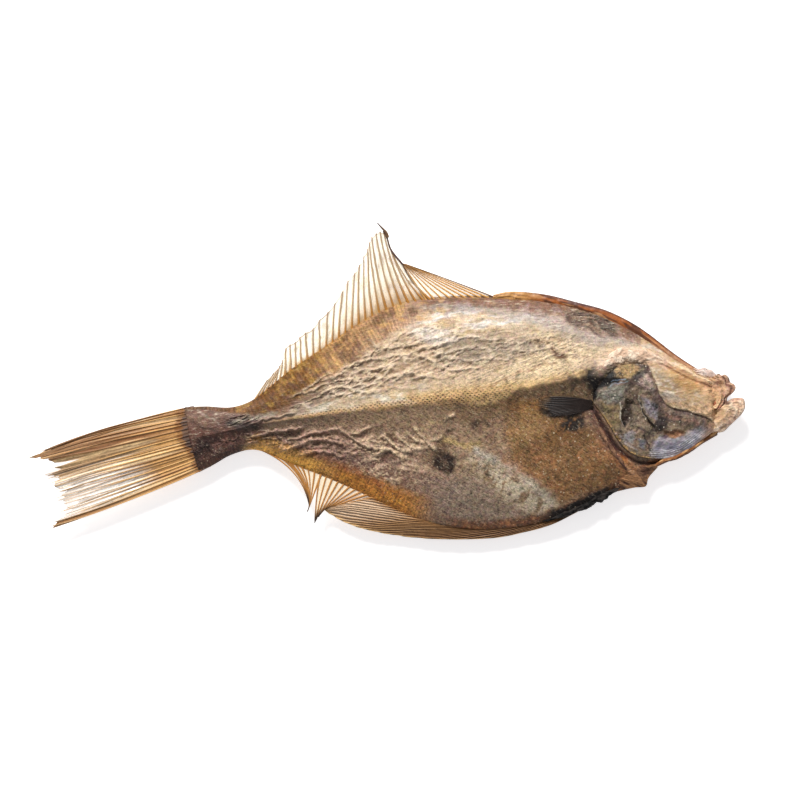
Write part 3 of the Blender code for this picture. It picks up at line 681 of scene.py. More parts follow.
def paint_head(colour, x, y):
    """Cream cheek with tan and ochre patches, pink folds at the neck and a dark gill slit, with painted
    highlights on the cheek's edge, the brow and the girdle's crest, and painted shade outside the cheek's
    step, in the brow's groove and below the brow.
    """
    wx, wy = wander(x, y, 0.9, 2.6, 191)
    cheek = inside(CHEEK, wx, wy, 0.5)
    return coats(colour,
        ((194, 162, 124), cheek),
        ((164, 150, 130), 0.75 * inside(CHEEK_GREEN, wx, wy, 1.6)),
        ((216, 200, 182), 0.8 * cheek * ease(cloud(x, y * 1.6, 3, 203), 0.5, 0.64) * ease(x, 136, 126)),
        ((160, 128, 92), 0.75 * cheek * ease(cloud(x * 0.6, y * 1.2, 3, 205), 0.52, 0.66)),
        ((170, 128, 76), 0.85 * inside(CHEEK_OCHRE, wx, wy, 1.6)),
        ((214, 166, 112), 0.7 * cheek * near(shifted(BROW, 0, -2.6), wx, wy, 2.2)),
        ((202, 152, 112), 0.8 * inside(SNOUT_TAN, wx, wy, 1.8)),
        ((220, 176, 134), 0.85 * cheek * ease(wx, 128, 135)),
        ((214, 176, 138), 0.7 * cheek * ease(-wy, 5, 11)),
        # Painted highlight along the cheek's raised edge, and painted shade just outside it where the cheek
        # steps down.
        ((222, 202, 172), 0.8 * cheek * near(CHEEK_EDGE, wx, wy, 0.8) * ease(y, 9, 5)),
        ((96, 66, 60), 0.6 * (1 - cheek) * near(CHEEK_EDGE, wx, wy, 0.8) * ease(y, 9, 5)),
        # Painted shade in the brow's groove, a painted highlight on the brow's ridge and a painted shadow
        # just below it.
        ((128, 84, 56), 0.7 * near(BROW_GROOVE, wx, wy, 0.6)),
        ((226, 196, 162), 0.8 * near(BROW, wx, wy, 0.7)),
        ((158, 112, 84), 0.7 * near(shifted(BROW, 0, -1.5), wx, wy, 0.6)),
        ((220, 190, 166), 0.95 * near(shifted(NECK_FOLD, 0, 0.8), wx, wy, 2.8)),
        ((132, 96, 80), 0.55 * near(NECK_FOLD, wx, wy, 2.6)
            * ease(cloud(x * 0.6, y * 1.6, 1.7, 207), 0.52, 0.6)),
        ((112, 80, 66), 0.9 * near(GIRDLE, wx, wy, 3.2) * ease(-y, 8, 12)),
        ((176, 122, 78), 0.8 * near(GIRDLE, wx, wy, 3.6) * ease(-y, 26, 33)),
        ((74, 42, 40), 0.85 * near(shifted(GIRDLE[:16], -0.2, 2.6), wx, wy, 1.3)),
        # Painted highlight along the girdle's crest.
        ((200, 154, 118), 0.75 * near(GIRDLE, wx, wy, 0.6) * ease(-wy, 14, 24)),
        ((196, 122, 64), 0.6 * spot(wx, wy, (98.6, -32.4), 4)),
        ((58, 36, 34), near(GILL_SLIT, x, y, 0.8)),
    )


# %% [markdown]
# ## Meshes from grids
# A grid of points becomes a mesh in one go: numpy numbers the corners of every face, and
# `from_pydata` takes the arrays as they are. A signed volume tells whether the faces point
# outwards, and turns them if they don't.


# %% Grid to mesh
def spread(rows, columns):
    """Shares from 0 to 1 down the rows of a grid and along its columns."""
    return np.broadcast_arrays(np.linspace(0, 1, rows)[:, None], np.linspace(0, 1, columns)[None, :])


def quads(rows, columns, wrap=False):
    """Corner numbers of every face between neighbouring grid points, joined round if `wrap`."""
    i = np.arange(rows - 1)[:, None]
    j = np.arange(columns if wrap else columns - 1)[None, :]
    k = (j + 1) % columns
    corners = [i * columns + j, i * columns + k, (i + 1) * columns + k, (i + 1) * columns + j]
    return np.stack([c.ravel() for c in corners], axis=-1)


def make_piece(name, points, faces, ends=()):
    """A mesh object from points in mm, four-cornered faces and closing end faces."""
    points = np.asarray(points, float).reshape(-1, 3)
    mesh = bpy.data.meshes.new(name)
    mesh.from_pydata((points * MM).tolist(), [], faces.tolist() + [list(map(int, e)) for e in ends])
    mesh.calc_loop_triangles()
    corners = np.zeros(len(mesh.loop_triangles) * 3, np.int32)
    mesh.loop_triangles.foreach_get("vertices", corners)
    a, b, c = points[corners.reshape(-1, 3)].transpose(1, 0, 2)
    if np.einsum("ij,ij->i", a, np.cross(b, c)).sum() < 0:
        mesh.flip_normals()
    mesh.shade_smooth()
    piece = bpy.data.objects.new(name, mesh)
    bpy.context.scene.collection.objects.link(piece)
    print(f"{name}: {len(points)} points, {len(mesh.loop_triangles)} triangles")
    return piece


# %% Closed skins and thin sheets
def ring_piece(name, rings):
    """A closed skin over rings of points, with its two end rings filled."""
    count, around = rings.shape[:2]
    ends = (np.arange(around)[::-1], np.arange((count - 1) * around, count * around))
    return make_piece(name, rings, quads(count, around, wrap=True), ends)


def sheet_piece(name, middle, thickness):
    """A closed thin sheet: a grid of points moved up and down by half its thickness."""
    rows, columns = middle.shape[:2]
    half = np.zeros_like(middle)
    half[..., 2] = thickness / 2
    top = quads(rows, columns)
    under = top[:, ::-1] + rows * columns
    grid = np.arange(rows * columns).reshape(rows, columns)
    rim = np.concatenate([grid[0, :-1], grid[:-1, -1], grid[-1, :0:-1], grid[:0:-1, 0]])
    after = np.roll(rim, -1)
    wall = np.stack([after, rim, rim + rows * columns, after + rows * columns], axis=-1)
    points = np.concatenate([(middle + half).reshape(-1, 3), (middle - half).reshape(-1, 3)])
    return make_piece(name, points, np.concatenate([top, under, wall]))


# %% Values on the points
def store(piece, **values):
    """Puts numbers or colours on a piece's points, one attribute for each name."""
    for name, value in values.items():
        value = np.asarray(value, float)
        if value.ndim > 1:
            flat = np.column_stack([value.reshape(-1, 3), np.ones(value.size // 3)])
            piece.data.attributes.new(name, "FLOAT_COLOR", "POINT").data.foreach_set("color", flat.ravel())
        else:
            piece.data.attributes.new(name, "FLOAT", "POINT").data.foreach_set("value", value)


def store_both(sheet, **values):
    """Puts the same numbers or colours on both faces of a thin sheet."""
    for name, value in values.items():
        flat = value.reshape(-1, 3) if value.ndim == 3 else value.ravel()
        store(sheet, **{name: np.concatenate([flat, flat])})


# %% [markdown]
# ## The skin
# One closed skin wraps the whole trunk and head, blind side and eyed side. It is 536 columns
# of points from tail to mouth, spaced about as finely as a fish scale, so the folds are real
# geometry and not only a bump. A bump alone would be lighter, but it leaves the outline
# smooth and the folds without shadows.

# %% The skin's points
COLUMNS, BELLY_ROWS, BACK_ROWS, KEEL_ROWS = 536, 74, 98, 14


def skin_columns():
    """Belly, ridge and back end of each column in plan."""
    share = np.linspace(0, 1, COLUMNS + 1)
    share = 0.988 * (share + 0.03 * np.sin(math.pi * share) * (1 - 0.2 * share))
    ends = []
    for stations in (BELLY, RIDGE, BACK):
        x = stations[0][0] + share * (stations[-1][0] - stations[0][0])
        ends.append(np.stack([x, through(stations, x)], axis=-1))
    return ends


belly, ridge, back = skin_columns()
low = np.linspace(0, 1, BELLY_ROWS + 1)[:, None, None]
high = np.linspace(0, 1, BACK_ROWS + 1)[1:, None, None]
top = np.concatenate([belly + (ridge - belly) * low, ridge + (back - ridge) * high])
under = np.linspace(1, 0, KEEL_ROWS + 1)[1:-1, None, None]
under = np.where(under > 0.5, ridge + (back - ridge) * (2 * under - 1), belly + (ridge - belly) * 2 * under)

# %% The skin's heights and colours
def paint_eyed_side(x, y):
    """Brown with darker spots and a faint line along the backbone."""
    spots = ease(cloud(x, y, 8, 241), 0.55, 0.68)
    return coats(plain(112, 86, 60, x),
        ((74, 54, 40), 0.8 * spots),
        ((150, 112, 66), 0.7 * ease(np.abs(flank(x, y)), 0.75, 0.95)),
        ((70, 52, 40), 0.6 * near(RIDGE, x, y, 0.7)),
    )


tx, ty = top[..., 0], top[..., 1]
tv = flank(tx, ty)
from_back, run_back = edge_frame(BACK, tx, ty)
from_belly, run_belly = edge_frame(BELLY, tx, ty)
rise, crest, above, below = relief(tx, ty, from_back)
top_z = trunk_top(tx, ty) + rise
top_z[[0, -1]] = EDGE_HEIGHT
kx, ky = under[..., 0], under[..., 1]
keel_z = trunk_keel(kx, ky)
dents = (cloud(kx, ky, 5, 221) - 0.35) * 0.5 * ease(1 - np.abs(flank(kx, ky)), 0, 0.2)
keel_z = np.maximum(keel_z + np.where(keel_z > 0.05, dents, 0), 0)
loops = np.concatenate([np.dstack([top, top_z]), np.dstack([under, keel_z])])
skin = ring_piece("skin", loops.transpose(1, 0, 2))

# %% Colour of the skin, point by point
ragged = tv + 0.05 * (cloud(tx, ty, 2.2, 225) - 0.5) + 0.07 * ease(tx, 26, 38) * ease(tx, 58, 42)
lower_colour, upper_colour = paint_lower(tx, ty, tv, from_belly), paint_upper(tx, ty, tv, from_back)
top_colour = glaze(lower_colour, upper_colour, ease(ragged, -0.03, 0.015))
# Painted shade: the valleys between the skin's folds are darkened, purple-brown towards the tail and
# grey-brown towards the head above the backbone.
valley = np.maximum(above, 0.9 * below) * (1 - crest) ** 2
valley_shade = glaze(plain(88, 64, 56, tx), dye(122, 96, 76), ease(tx, -25, 10) * ease(tv, -0.05, 0.05))
top_colour = top_colour + (valley_shade - top_colour) * (valley * (0.72 - 0.3 * ease(tx, -20, 10)))[..., None]
unbruised = 1 - 0.8 * inside(BRUISE, tx, ty, 2)
# Painted highlight: the crests of the folds above the backbone are painted pale cream, less so on the
# bruise.
top_colour = glaze(top_colour, dye(232, 210, 184),
    0.6 * crest * unbruised * ease(tv, -0.02, 0.02) * ease(tx, -60, -30))
PLEAT_STEP = 4.8
pleats = ease(np.sin(math.tau * run_back / PLEAT_STEP + 7 * cloud(tx, ty, 6, 227)), -0.3, 0.8)
pleats = (
    pleats * ease(from_back / through(FIN_ROOT_WIDTH, tx), 1.2, 0.7) * ease(tx, 4, -14)
    * ease(from_back, 1, 4)
)
top_colour = glaze(top_colour, dye(104, 72, 56), 0.5 * pleats * ease(tv, 0, 0.05))
# Painted shadow and highlights: below the backbone a dark line lies beside each placed crest, shifted down
# and to the right where its shadow would fall, and the crests are painted pale, greyer near the tail.
zigzag = ease(-tv, 0, 0.03) * ease(tx, -12, 2)
beside = [shifted(path, 0.7, -1.1) for path in LOWER_CRESTS]
crest_shadows = placed_crests(beside, *wander(tx, ty, 0.8, 2, 63), 0.8)
top_colour = coats(top_colour,
    ((66, 46, 38), 0.7 * crest_shadows * zigzag * (1 - crest)),
    ((186, 152, 134), 0.8 * crest * ease(-tv, 0, 0.03) * ease(tx, -75, -50)),
    ((232, 204, 168), 0.95 * crest * ease(-tv, 0, 0.03) * ease(tx, -22, -4)),
    ((148, 128, 118), 0.5 * crest * ease(tx, -36, -60)),
)
top_colour = paint_head(paint_marks(top_colour, tx, ty, tv), tx, ty)


def skin_values(top_values, under_value):
    """Point values in the order of the skin's columns."""
    return np.concatenate([top_values, np.full(kx.shape, under_value)]).T.ravel()


slant = ease(tx, 8, 26) * ease(tv, 0, 0.06) * ease(tv - 0.002 * tx, 0.56, 0.36) * ease(tx, 92, 76)
grit = 0.5 + 0.5 * ease(-tv, 0, 0.1) - 0.32 * inside(CHEEK, tx, ty, 1)
grit = grit + 0.1 * slant
bead_width = 0.035 + 0.04 * ease(tx, -5, 30)
beads = bell(tv, 0.02 - 0.03 * ease(tx, 0, 40), bead_width) * ease(tx, -50, -25) * ease(tx, 58, 40)
hatch_back = ease(from_back / through(FIN_ROOT_WIDTH, tx), 1.1, 0.8) * ease(tx, 20, 0)
hatch_belly = ease(from_belly, 9, 6) * ease(tx, 40, 10)
upper = tv > 0
store(
    skin,
    tint=np.concatenate([top_colour, paint_eyed_side(kx, ky)]).transpose(1, 0, 2),
    grit=skin_values(grit, 0.9),
    fleck=skin_values(0.35 * ease(-tv, 0, 0.2) + 0.65 * inside(BELLY_CAVITY, tx, ty, 3)
        + 0.4 * inside(FIN_SOOT, tx, ty, 1.5) + 0.5 * inside(SOOT, tx, ty, 1.5), 0.0),
    beads=skin_values(beads, 0.0),
    side=skin_values(ease(tv, -0.03, 0.05), 0.0),
    slant=skin_values(slant, 0.0),
    hatch=skin_values(np.where(upper, hatch_back, hatch_belly), 0.0),
    run=skin_values(np.where(upper, run_back, run_belly), 0.0),
)

# %% [markdown]
# ## Fins
# A fin is a fan of bony rays with a web thinner than paper between them. Each ray runs from a base curve on
# the body's edge to a tip curve. The web is one thin see-through sheet over all the rays, and the rays are
# tapered tubes, all in one mesh. A ripple lifts most fins off the plane, because dried fins curl. Stripes
# on a flat sheet would pass from afar. Tubes catch the light on one side, and the web glows between them.


# %% A fan between two curves
def edge_run(stations, x_from, x_to, inward=1.6, count=9):
    """Stations (share, x, y, z) along the body's edge, moved a little into the body."""
    x = np.linspace(x_from, x_to, count)
    sign = 1 if stations is BELLY else -1
    y = through(stations, x) + sign * inward
    return np.column_stack([np.linspace(0, 1, count), x, y, np.full(count, EDGE_HEIGHT)])


def curve(stations, share):
    """Place in space on a curve through (share, x, y, z) stations."""
    table = np.asarray(stations, float)
    return np.stack([through(table[:, [0, k]], share) for k in (1, 2, 3)], axis=-1)


def fan(fin, p, t):
    """Points of a fin at shares p along its base and t out along its rays.

    A straight line from base to tip, plus 4t(1 - t) times the bows, which the first and the last
    ray have in full, plus a ripple of three waves that grows with t. `sway` and `swing` bend
    rays aside.
    """
    start, end = curve(fin["base"], p), curve(fin["tips"], p)
    first, last, power = fin.get("bows", ((0, 0), (0, 0), 4))
    aside = np.zeros_like(start)
    aside[..., :2] = (1 - p[..., None]) ** power * np.array(first) + p[..., None] ** power * np.array(last)
    t = t[..., None]
    place = start + (end - start) * t + aside * 4 * t * (1 - t)
    place[..., 2] += fin.get("ripple", 0) * np.sin(6 * math.pi * p + 0.6) * t[..., 0] ** 1.5
    place[..., 0] += fin.get("sway", 0) * (grain(p * 40, t[..., 0] * 2.5, 7) - 0.5) * t[..., 0]
    place[..., 1] += fin.get("swing", 0) * (grain(p * 30, t[..., 0] * 3, 9) - 0.5) * t[..., 0]
    return place


# %% Tubes along rays
def ray_tubes(name, lines, radii, sides=8):
    """Tapered tubes along many lines at once: rings square to each line, joined along it."""
    rays, steps = lines.shape[:2]
    run = np.gradient(lines, axis=1)
    run /= np.linalg.norm(run, axis=-1, keepdims=True)
    flat = np.cross(run, [0, 0, 1.0])
    flat /= np.linalg.norm(flat, axis=-1, keepdims=True)
    up = np.cross(flat, run)
    turn = np.arange(sides) * math.tau / sides
    rings = lines[:, :, None] + radii[..., None, None] * (
        flat[:, :, None] * np.cos(turn)[:, None] + up[:, :, None] * np.sin(turn)[:, None] * 0.8
    )
    per_ray = steps * sides
    faces = (quads(steps, sides, wrap=True)[None] + np.arange(rays)[:, None, None] * per_ray).reshape(-1, 4)
    first = np.arange(rays)[:, None] * per_ray
    ends = list(first + np.arange(sides)[::-1]) + list(first + per_ray - sides + np.arange(sides))
    return make_piece(name, rings, faces, ends)


# %% Webs between rays
def web_grid(fin, steps, finer, reach):
    """Shares, ways out and nearness to the middle between two rays, as grids."""
    count = len(fin["shares"]) - 1
    number = np.linspace(0, count, count * finer + 1)[:, None]
    p = np.interp(number, np.arange(count + 1), fin["shares"])
    between = np.abs(np.sin(math.pi * number))
    t = np.linspace(0, 1, steps + 1)[None, :] * reach(p, between, number)
    return np.broadcast_arrays(p, t, between)


def fin_web(name, fin, steps, reach, colour, clear, finer=8, pleat=-0.35, thickness=0.14):
    """The sheet between rays, pleated by `pleat` mm between every two, with colour and opacity."""
    p, t, between = web_grid(fin, steps, finer, reach)
    grid = fan(fin, p, t)
    grid[..., 2] += pleat * between * np.clip(t, 0, 1) ** 0.5
    sheet = sheet_piece(name, grid, thickness)
    solid = clear(p, t, between) * np.ones_like(t)
    store_both(sheet, tint=colour(p, t, between), solid=solid, share=p, out=t)


# %% Rays and threads
def fin_rays(name, fin, p, steps, reach, radii, colour, seed=0, sides=8):
    """One tube for every row of shares, thick at the base and thin at the tip."""
    t = np.linspace(0, 1, steps + 1)[None, :] * reach
    p = p[:, None] if p.ndim == 1 else p
    p, t = np.broadcast_arrays(p, t)
    lines = fan(fin, p, t)
    lines[..., 2] += 0.12
    own = 0.8 + 0.4 * lattice(np.arange(len(p)), 0 * np.arange(len(p)), seed)
    width = (radii[0] + (radii[1] - radii[0]) * t) * own[:, None]
    tubes = ray_tubes(name, lines, width, sides)
    store(tubes, tint=np.repeat(colour(p, t).reshape(-1, 3), sides, axis=0))


def thread(name, line, radii, first_tone, last_tone):
    """One tapered tube along a line, whose colour changes from one end to the other."""
    share = np.linspace(0, 1, len(line))
    tube = ray_tubes(name, line[None], np.linspace(*radii, len(line))[None])
    tint = glaze(plain(*first_tone, share), dye(*last_tone), share)
    store(tube, tint=np.repeat(tint, 8, axis=0))


# %% Where a web ends
def whole(p, between, number):
    """A fin whose web reaches its tips, with its edge cut in a little between rays."""
    return 1 - 0.005 - 0.025 * between


def seam(fin, p, t, between, width=0.55):
    """1 in the last `width` mm before the web's edge, where the web has dried to a thread."""
    length = np.linalg.norm(curve(fin["tips"], p) - curve(fin["base"], p), axis=-1)
    return ease((whole(p, between, 0) - t) * length, width, width * 0.5)


# %% [markdown]
# ### The dorsal fin
# Its front rays have dried upright in a sharp peak, bent over at the tip. Behind the peak the
# fan has collapsed, so all its rays spring from one point on the peak's last ray. The rest
# lies folded along the back as a rusty rim. One fan can't be open and shut at once, so each
# state is a fan of its own.

# %% The peak of the dorsal fin
PEAK_NUMBERS = np.arange(-5, 24)
PEAK = dict(
    base=edge_run(BACK, -61, 17.5),
    tips=[
        (0, -60, -7.5, 6.6), (0.05, -51, 2.2, 6.7), (0.178, -45.8, 9.2, 7.1), (0.205, -44.3, 14, 7.2),
        (0.266, -40.5, 16.8, 7.5), (0.326, -36.5, 20.6, 7.8), (0.36, -33.3, 22.3, 8.1),
        (0.395, -30, 26, 8.4), (0.46, -23.8, 32.8, 9), (0.525, -18.6, 41.7, 9.7), (0.6, -13.3, 48.8, 10.4),
        (0.667, -10.3, 55, 11.1), (0.753, -8, 60.7, 12), (0.84, -4.4, 63.6, 12.8),
        (0.917, -1.5, 60.7, 12.2), (0.957, 0.2, 55.6, 11.4), (1, 5.2, 49.3, 10.4),
    ],
    shares=np.clip((14 + 2.28 * PEAK_NUMBERS + 0.0232 * PEAK_NUMBERS**2) / 78.5, 0.02, 1),
    bows=((0, 0), (-2.0, 0.6), 4), ripple=0.4, sway=0.8,
)


def peak_ray_colour(p, t):
    """Golden at the root, beige further out and dark on the last rays' tips."""
    dark = np.maximum(ease(p, 0.86, 0.93) * ease(t, 0.86, 1), ease(p, 0.965, 0.995) * ease(t, 0.3, 0.9))
    return coats(plain(190, 132, 64, p),
        ((202, 172, 134), ease(t, 0.06, 0.4)),
        ((184, 152, 124), 0.8 * ease(t, 0.6, 1)),
        ((84, 58, 42), 0.9 * dark),
    )


def peak_web_colour(p, t, between):
    """Cream, golden beside the rays and near the root, with a grey-brown edge and a smudge."""
    smudge = ease(cloud(p * 60, t * 40, 5, 281), 0.52, 0.66) * ease(p, 0.7, 0.86) * ease(t, 0.8, 0.66)
    return coats(plain(236, 214, 176, p),
        ((255, 248, 226), ease(t, 0.1, 0.5)),
        ((196, 148, 90), 0.75 * (1 - between) ** 2),
        ((190, 140, 74), 0.7 * ease(t, 0.2, 0.02)),
        ((176, 140, 104), 0.7 * smudge),
        ((176, 152, 126), 0.9 * seam(PEAK, p, t, between)),
    )


def peak_web_clear(p, t, between):
    """Thin in the middle of each strip, thicker beside the rays, at the root and at the edge."""
    veins = ease(cloud(p * 160, t * 14, 2, 283), 0.5, 0.7)
    solid = 0.38 + 0.4 * (1 - between) ** 2 + 0.3 * ease(t, 0.25, 0) + 0.3 * veins
    return np.maximum(solid, seam(PEAK, p, t, between))


fin_web("peak_web", PEAK, 44, whole, peak_web_colour, peak_web_clear)
fin_rays("peak_rays", PEAK, PEAK["shares"], 44, 1.0, (0.5, 0.2), peak_ray_colour, 3)
edge_line = curve(PEAK["tips"], np.linspace(0.87, 1.0, 30))
thread("peak_edge", edge_line, (0.28, 0.44), (112, 84, 66), (92, 70, 68))
tip_places = [(-1.2, 60.6, 12.4), (-1.8, 62.6, 12.9), (-3.4, 64.4, 13.1), (-5.6, 66.8, 13)]
thread("peak_tip", along(tip_places, np.linspace(0, 1, 20)), (0.75, 0.2), (120, 88, 62), (64, 46, 38))

# %% The collapsed fan behind the peak
FOLDED = dict(
    base=edge_run(BACK, 15.5, 47),
    tips=[(0, 4.2, 51, 10.4), (0.3, 5, 50, 10.3), (1, 6.5, 49.6, 9.9)],
    shares=np.linspace(0, 1, 10), bows=((0, 0), (0, 0.2), 4), ripple=0.2,
)


def folded_ray_colour(p, t):
    """Golden brown, turning dark brown at the top ray and where the rays meet."""
    return coats(plain(218, 166, 98, p),
        ((184, 136, 82), ease(t, 0.4, 0.9)),
        ((104, 68, 44), np.maximum(0.9 * ease(p, 0.9, 1), 0.6 * ease(t, 0.8, 1))),
    )


def folded_web_colour(p, t, between):
    """Cream near the base and golden where the strips close up."""
    return coats(plain(255, 244, 214, p),
        ((244, 218, 172), ease(t, 0.7, 1)),
        ((206, 154, 90), 0.5 * (1 - between) ** 2),
        ((184, 122, 56), 0.8 * ease(t, 0.16, 0.04)),
    )


fin_web(
    "folded_web", FOLDED, 34, lambda p, b, n: 1 + 0 * p, folded_web_colour,
    lambda p, t, b: 0.36 + 0.3 * (1 - b) ** 3 + 0.3 * ease(t, 0.6, 1),
)
fin_rays("folded_rays", FOLDED, FOLDED["shares"], 34, 1.0, (0.38, 0.12), folded_ray_colour, 5)

# %% The rim folded along the back
RIM = dict(
    base=edge_run(BACK, 43, 133, 2.2, 12),
    tips=[
        (0, 43.5, 36.8, 7), (0.08, 50, 38.1, 6.8), (0.24, 65, 37, 6.6), (0.4, 79, 33.6, 6.6),
        (0.545, 92.3, 29.8, 6.6), (0.68, 104.7, 23.4, 6.4), (0.87, 121.5, 10.9, 6.2), (0.985, 130.5, 5, 6),
    ],
)


def rim_colour(p, t):
    """Rust with dark and golden streaks along it, dark at its outer edge."""
    streak = grain(p * 20 + 2 * t, t * 5, 303)
    front = ease(p, 0.24, 0.12)
    lines = np.sin(math.tau * (3.4 * t + 5 * p) + 3 * grain(p * 24, t * 3, 307))
    return coats(plain(160, 90, 40, p),
        ((84, 50, 34), 0.88 * ease(streak, 0.44, 0.68)),
        ((206, 152, 104), 0.7 * ease(grain(p * 14, t * 6 + 9, 305), 0.62, 0.76)),
        ((80, 48, 38), 0.8 * ease(t, 0.78, 0.94) * ease(p, 0.06, 0.2)),
        ((206, 154, 92), 0.9 * front),
        ((120, 76, 36), 0.85 * front * ease(lines, 0.1, 0.8)),
        ((84, 62, 66), 0.7 * ease(t, 0.5, 0.9) * bell(p, 0.42, 0.1)),
        ((184, 142, 112), 0.8 * ease(p, 0.72, 0.88) * ease(t, 0.92, 0.7)),
    )


rim_p, rim_t = spread(401, 15)
rim_grid = fan(RIM, rim_p, rim_t)
rim_grid[..., 2] += 0.5 * np.sin(math.pi * rim_t) + 0.4 * (grain(rim_p * 60, rim_t * 5, 311) - 0.5)
rim = sheet_piece("dorsal_rim", rim_grid, 0.9 * (1 - 0.6 * rim_t))
store_both(rim, tint=rim_colour(rim_p, rim_t))

# %% [markdown]
# ### The anal fin
# It has torn in two: a first fan that ends in a dark spike, a second that is folded over on
# itself, and then a broad flap whose rays lie nearly level along the belly. The flap's rays
# lie side by side with no web to see between them, so they are ripples in one sheet.

# %% The two torn fans
SPIKE = dict(
    base=edge_run(BELLY, -59, -29),
    tips=[(0, -34.6, -52, 6.6), (0.5, -34.2, -52.5, 6.8), (1, -35.2, -55, 7.8)],
    shares=np.linspace(0, 1, 9) ** 0.8, bows=((4.4, 2.6), (0, 0), 1), sway=0.3,
)
HOOK = dict(
    base=edge_run(BELLY, -29.5, -6),
    tips=[
        (0, -32.1, -59.6, 8.6), (0.2, -31.5, -58.5, 8), (0.4, -30, -56.5, 7.2), (0.7, -28.9, -54.6, 6.4),
        (1, -28.2, -53.9, 5.9),
    ],
    shares=np.linspace(0, 1, 10), bows=((-0.4, 0), (1.5, 0.6), 4), sway=0.3,
)


def anal_colour(p, t):
    """Golden brown rays with dark tips."""
    return glaze(plain(184, 128, 66, p), dye(60, 44, 36), ease(t, 0.66, 0.95))


def anal_web_colour(p, t, between):
    """Pale gold, brown towards the tips."""
    return coats(plain(252, 234, 196, p),
        ((140, 100, 60), ease(t, 0.7, 0.98)),
        ((190, 136, 70), 0.6 * (1 - between) ** 3),
    )


def anal_clear(p, t, between):
    """Thin near the base and opaque towards the tips, where the folds lie on one another."""
    return 0.4 + 0.35 * (1 - between) ** 2 + 0.5 * ease(t, 0.55, 0.95)


fin_web("spike_web", SPIKE, 28, whole, anal_web_colour, anal_clear)
fin_rays("spike_rays", SPIKE, SPIKE["shares"], 28, 1.0, (0.42, 0.16), anal_colour, 7)
fin_web("hook_web", HOOK, 28, whole, anal_web_colour, anal_clear)
fin_rays("hook_rays", HOOK, HOOK["shares"], 28, 1.0, (0.46, 0.22), anal_colour, 9)

# %% The broad flap
FLAP = dict(
    base=edge_run(BELLY, -6, 80, 2.6),
    tips=[
        (0, -28.3, -53.9, 5.8), (0.15, -27.2, -55.2, 5.4), (0.3, -18.5, -60.2, 4.8), (0.5, 0, -64.8, 4.4),
        (0.7, 22, -66.8, 4.6), (0.82, 43, -66.4, 5), (0.9, 56, -64, 5.3), (0.96, 69, -60.2, 5.8),
        (1, 79, -55.2, 6),
    ],
    ripple=0.4,
)
FLAP_LINES = 22


def flap_colour(p, t, wave):
    """Grey-brown pleats with golden painted highlights on their crests and painted shade in their valleys,
    and a pale gold outer edge.
    """
    far = ease(p, 0.42, 0.7)
    return coats(plain(156, 112, 70, p),
        ((150, 116, 84), 0.7 * ease(t, 0.2, 0.5) * (1 - far)),
        ((232, 204, 176), 0.85 * ease(p, 0.34, 0.14) * ease(t, 0.12, 0.3)),
        ((98, 66, 44), 0.8 * far),
        ((72, 48, 34), (0.6 + 0.35 * ease(p, 0.2, 0.5)) * ease(-wave, 0.1, 0.75)),
        ((196, 144, 80), 0.55 * ease(wave, 0.55, 0.95) * (1 - 0.4 * far)),
        ((212, 172, 116), 0.85 * ease(t, 0.93, 0.97) * (1 - 0.6 * far)),
        ((150, 104, 56), 0.8 * ease(t, 0.16, 0.06) * (1 - far)),
    )


flap_p, flap_t = spread(461, 91)
flap_grid = fan(FLAP, flap_p, flap_t * (1 - 0.02 * grain(flap_p * 34, 0 * flap_p, 337)))
flap_bend = (
    0.03 * (grain(flap_p * 9, flap_t * 2, 333) - 0.5) + 0.012 * (grain(flap_p * 60, flap_t * 9, 335) - 0.5)
)
flap_wave = np.sin(math.tau * FLAP_LINES * (0.31 * flap_t + 0.9 * flap_p + flap_bend))
flap_grid[..., 2] += 0.22 * flap_wave
flap = sheet_piece("anal_flap", flap_grid, 0.5)
store_both(flap, tint=flap_colour(flap_p, flap_t, flap_wave))

# %% [markdown]
# ### The tail
# The tail's rays fork, so each is a pair of lines that part towards the ragged end. The web
# is thick and golden at the root, dark brown in the upper third, and pale and torn near the
# end. Its strands are colour and opacity that follow the rays' own shares, which is simpler
# than cutting the web into strips.

# %% The tail fin
TAIL = dict(
    base=[(0, -76, -35.6, 6.2), (0.5, -79, -24, 6.2), (1, -83.4, -10.2, 5.6)],
    tips=[
        (0, -143.6, -61.4, 6.4), (0.16, -141.5, -55.2, 5.6), (0.3, -142.6, -49, 5.2),
        (0.42, -145, -45, 5.2), (0.52, -147, -42, 5.4), (0.6, -147.2, -40, 5.6), (0.66, -146, -37.4, 5.8),
        (0.7, -147.5, -34.6, 6.2), (0.78, -151.6, -32.6, 6.8), (0.84, -153.6, -31.9, 7.2),
        (0.92, -149, -29.6, 7), (1, -144, -28, 6.8),
    ],
    shares=np.linspace(0, 1, 21), bows=((-0.5, -1.6), (0.3, 1.7), 4), ripple=0.7, sway=2.0, swing=1.6,
)
TAIL_ROOT = [
    (-38, -80.2), (-34, -81.8), (-30.9, -83.4), (-27.6, -85.4), (-24.6, -87.8), (-18.7, -88.6),
    (-11.5, -87.4), (-9, -86),
]


# %% How far the tail reaches
def own_value(number, seed):
    """A number from 0 to 1 that each whole ray has for itself."""
    ray = np.floor(number + 0.5).astype(int)
    return lattice(ray, 0 * ray, seed)


def tail_reach(p, between, number):
    """How far each strip of the tail still reaches: torn by noise, and notched between rays."""
    torn = 0.05 * own_value(number, 351) + 0.04 * grain(number * 3.4, 0 * p, 353)
    return 1 - torn * ease(p, 0, 0.12) * (1 - 0.85 * ease(p, 0.7, 0.8)) - 0.03 * between**2


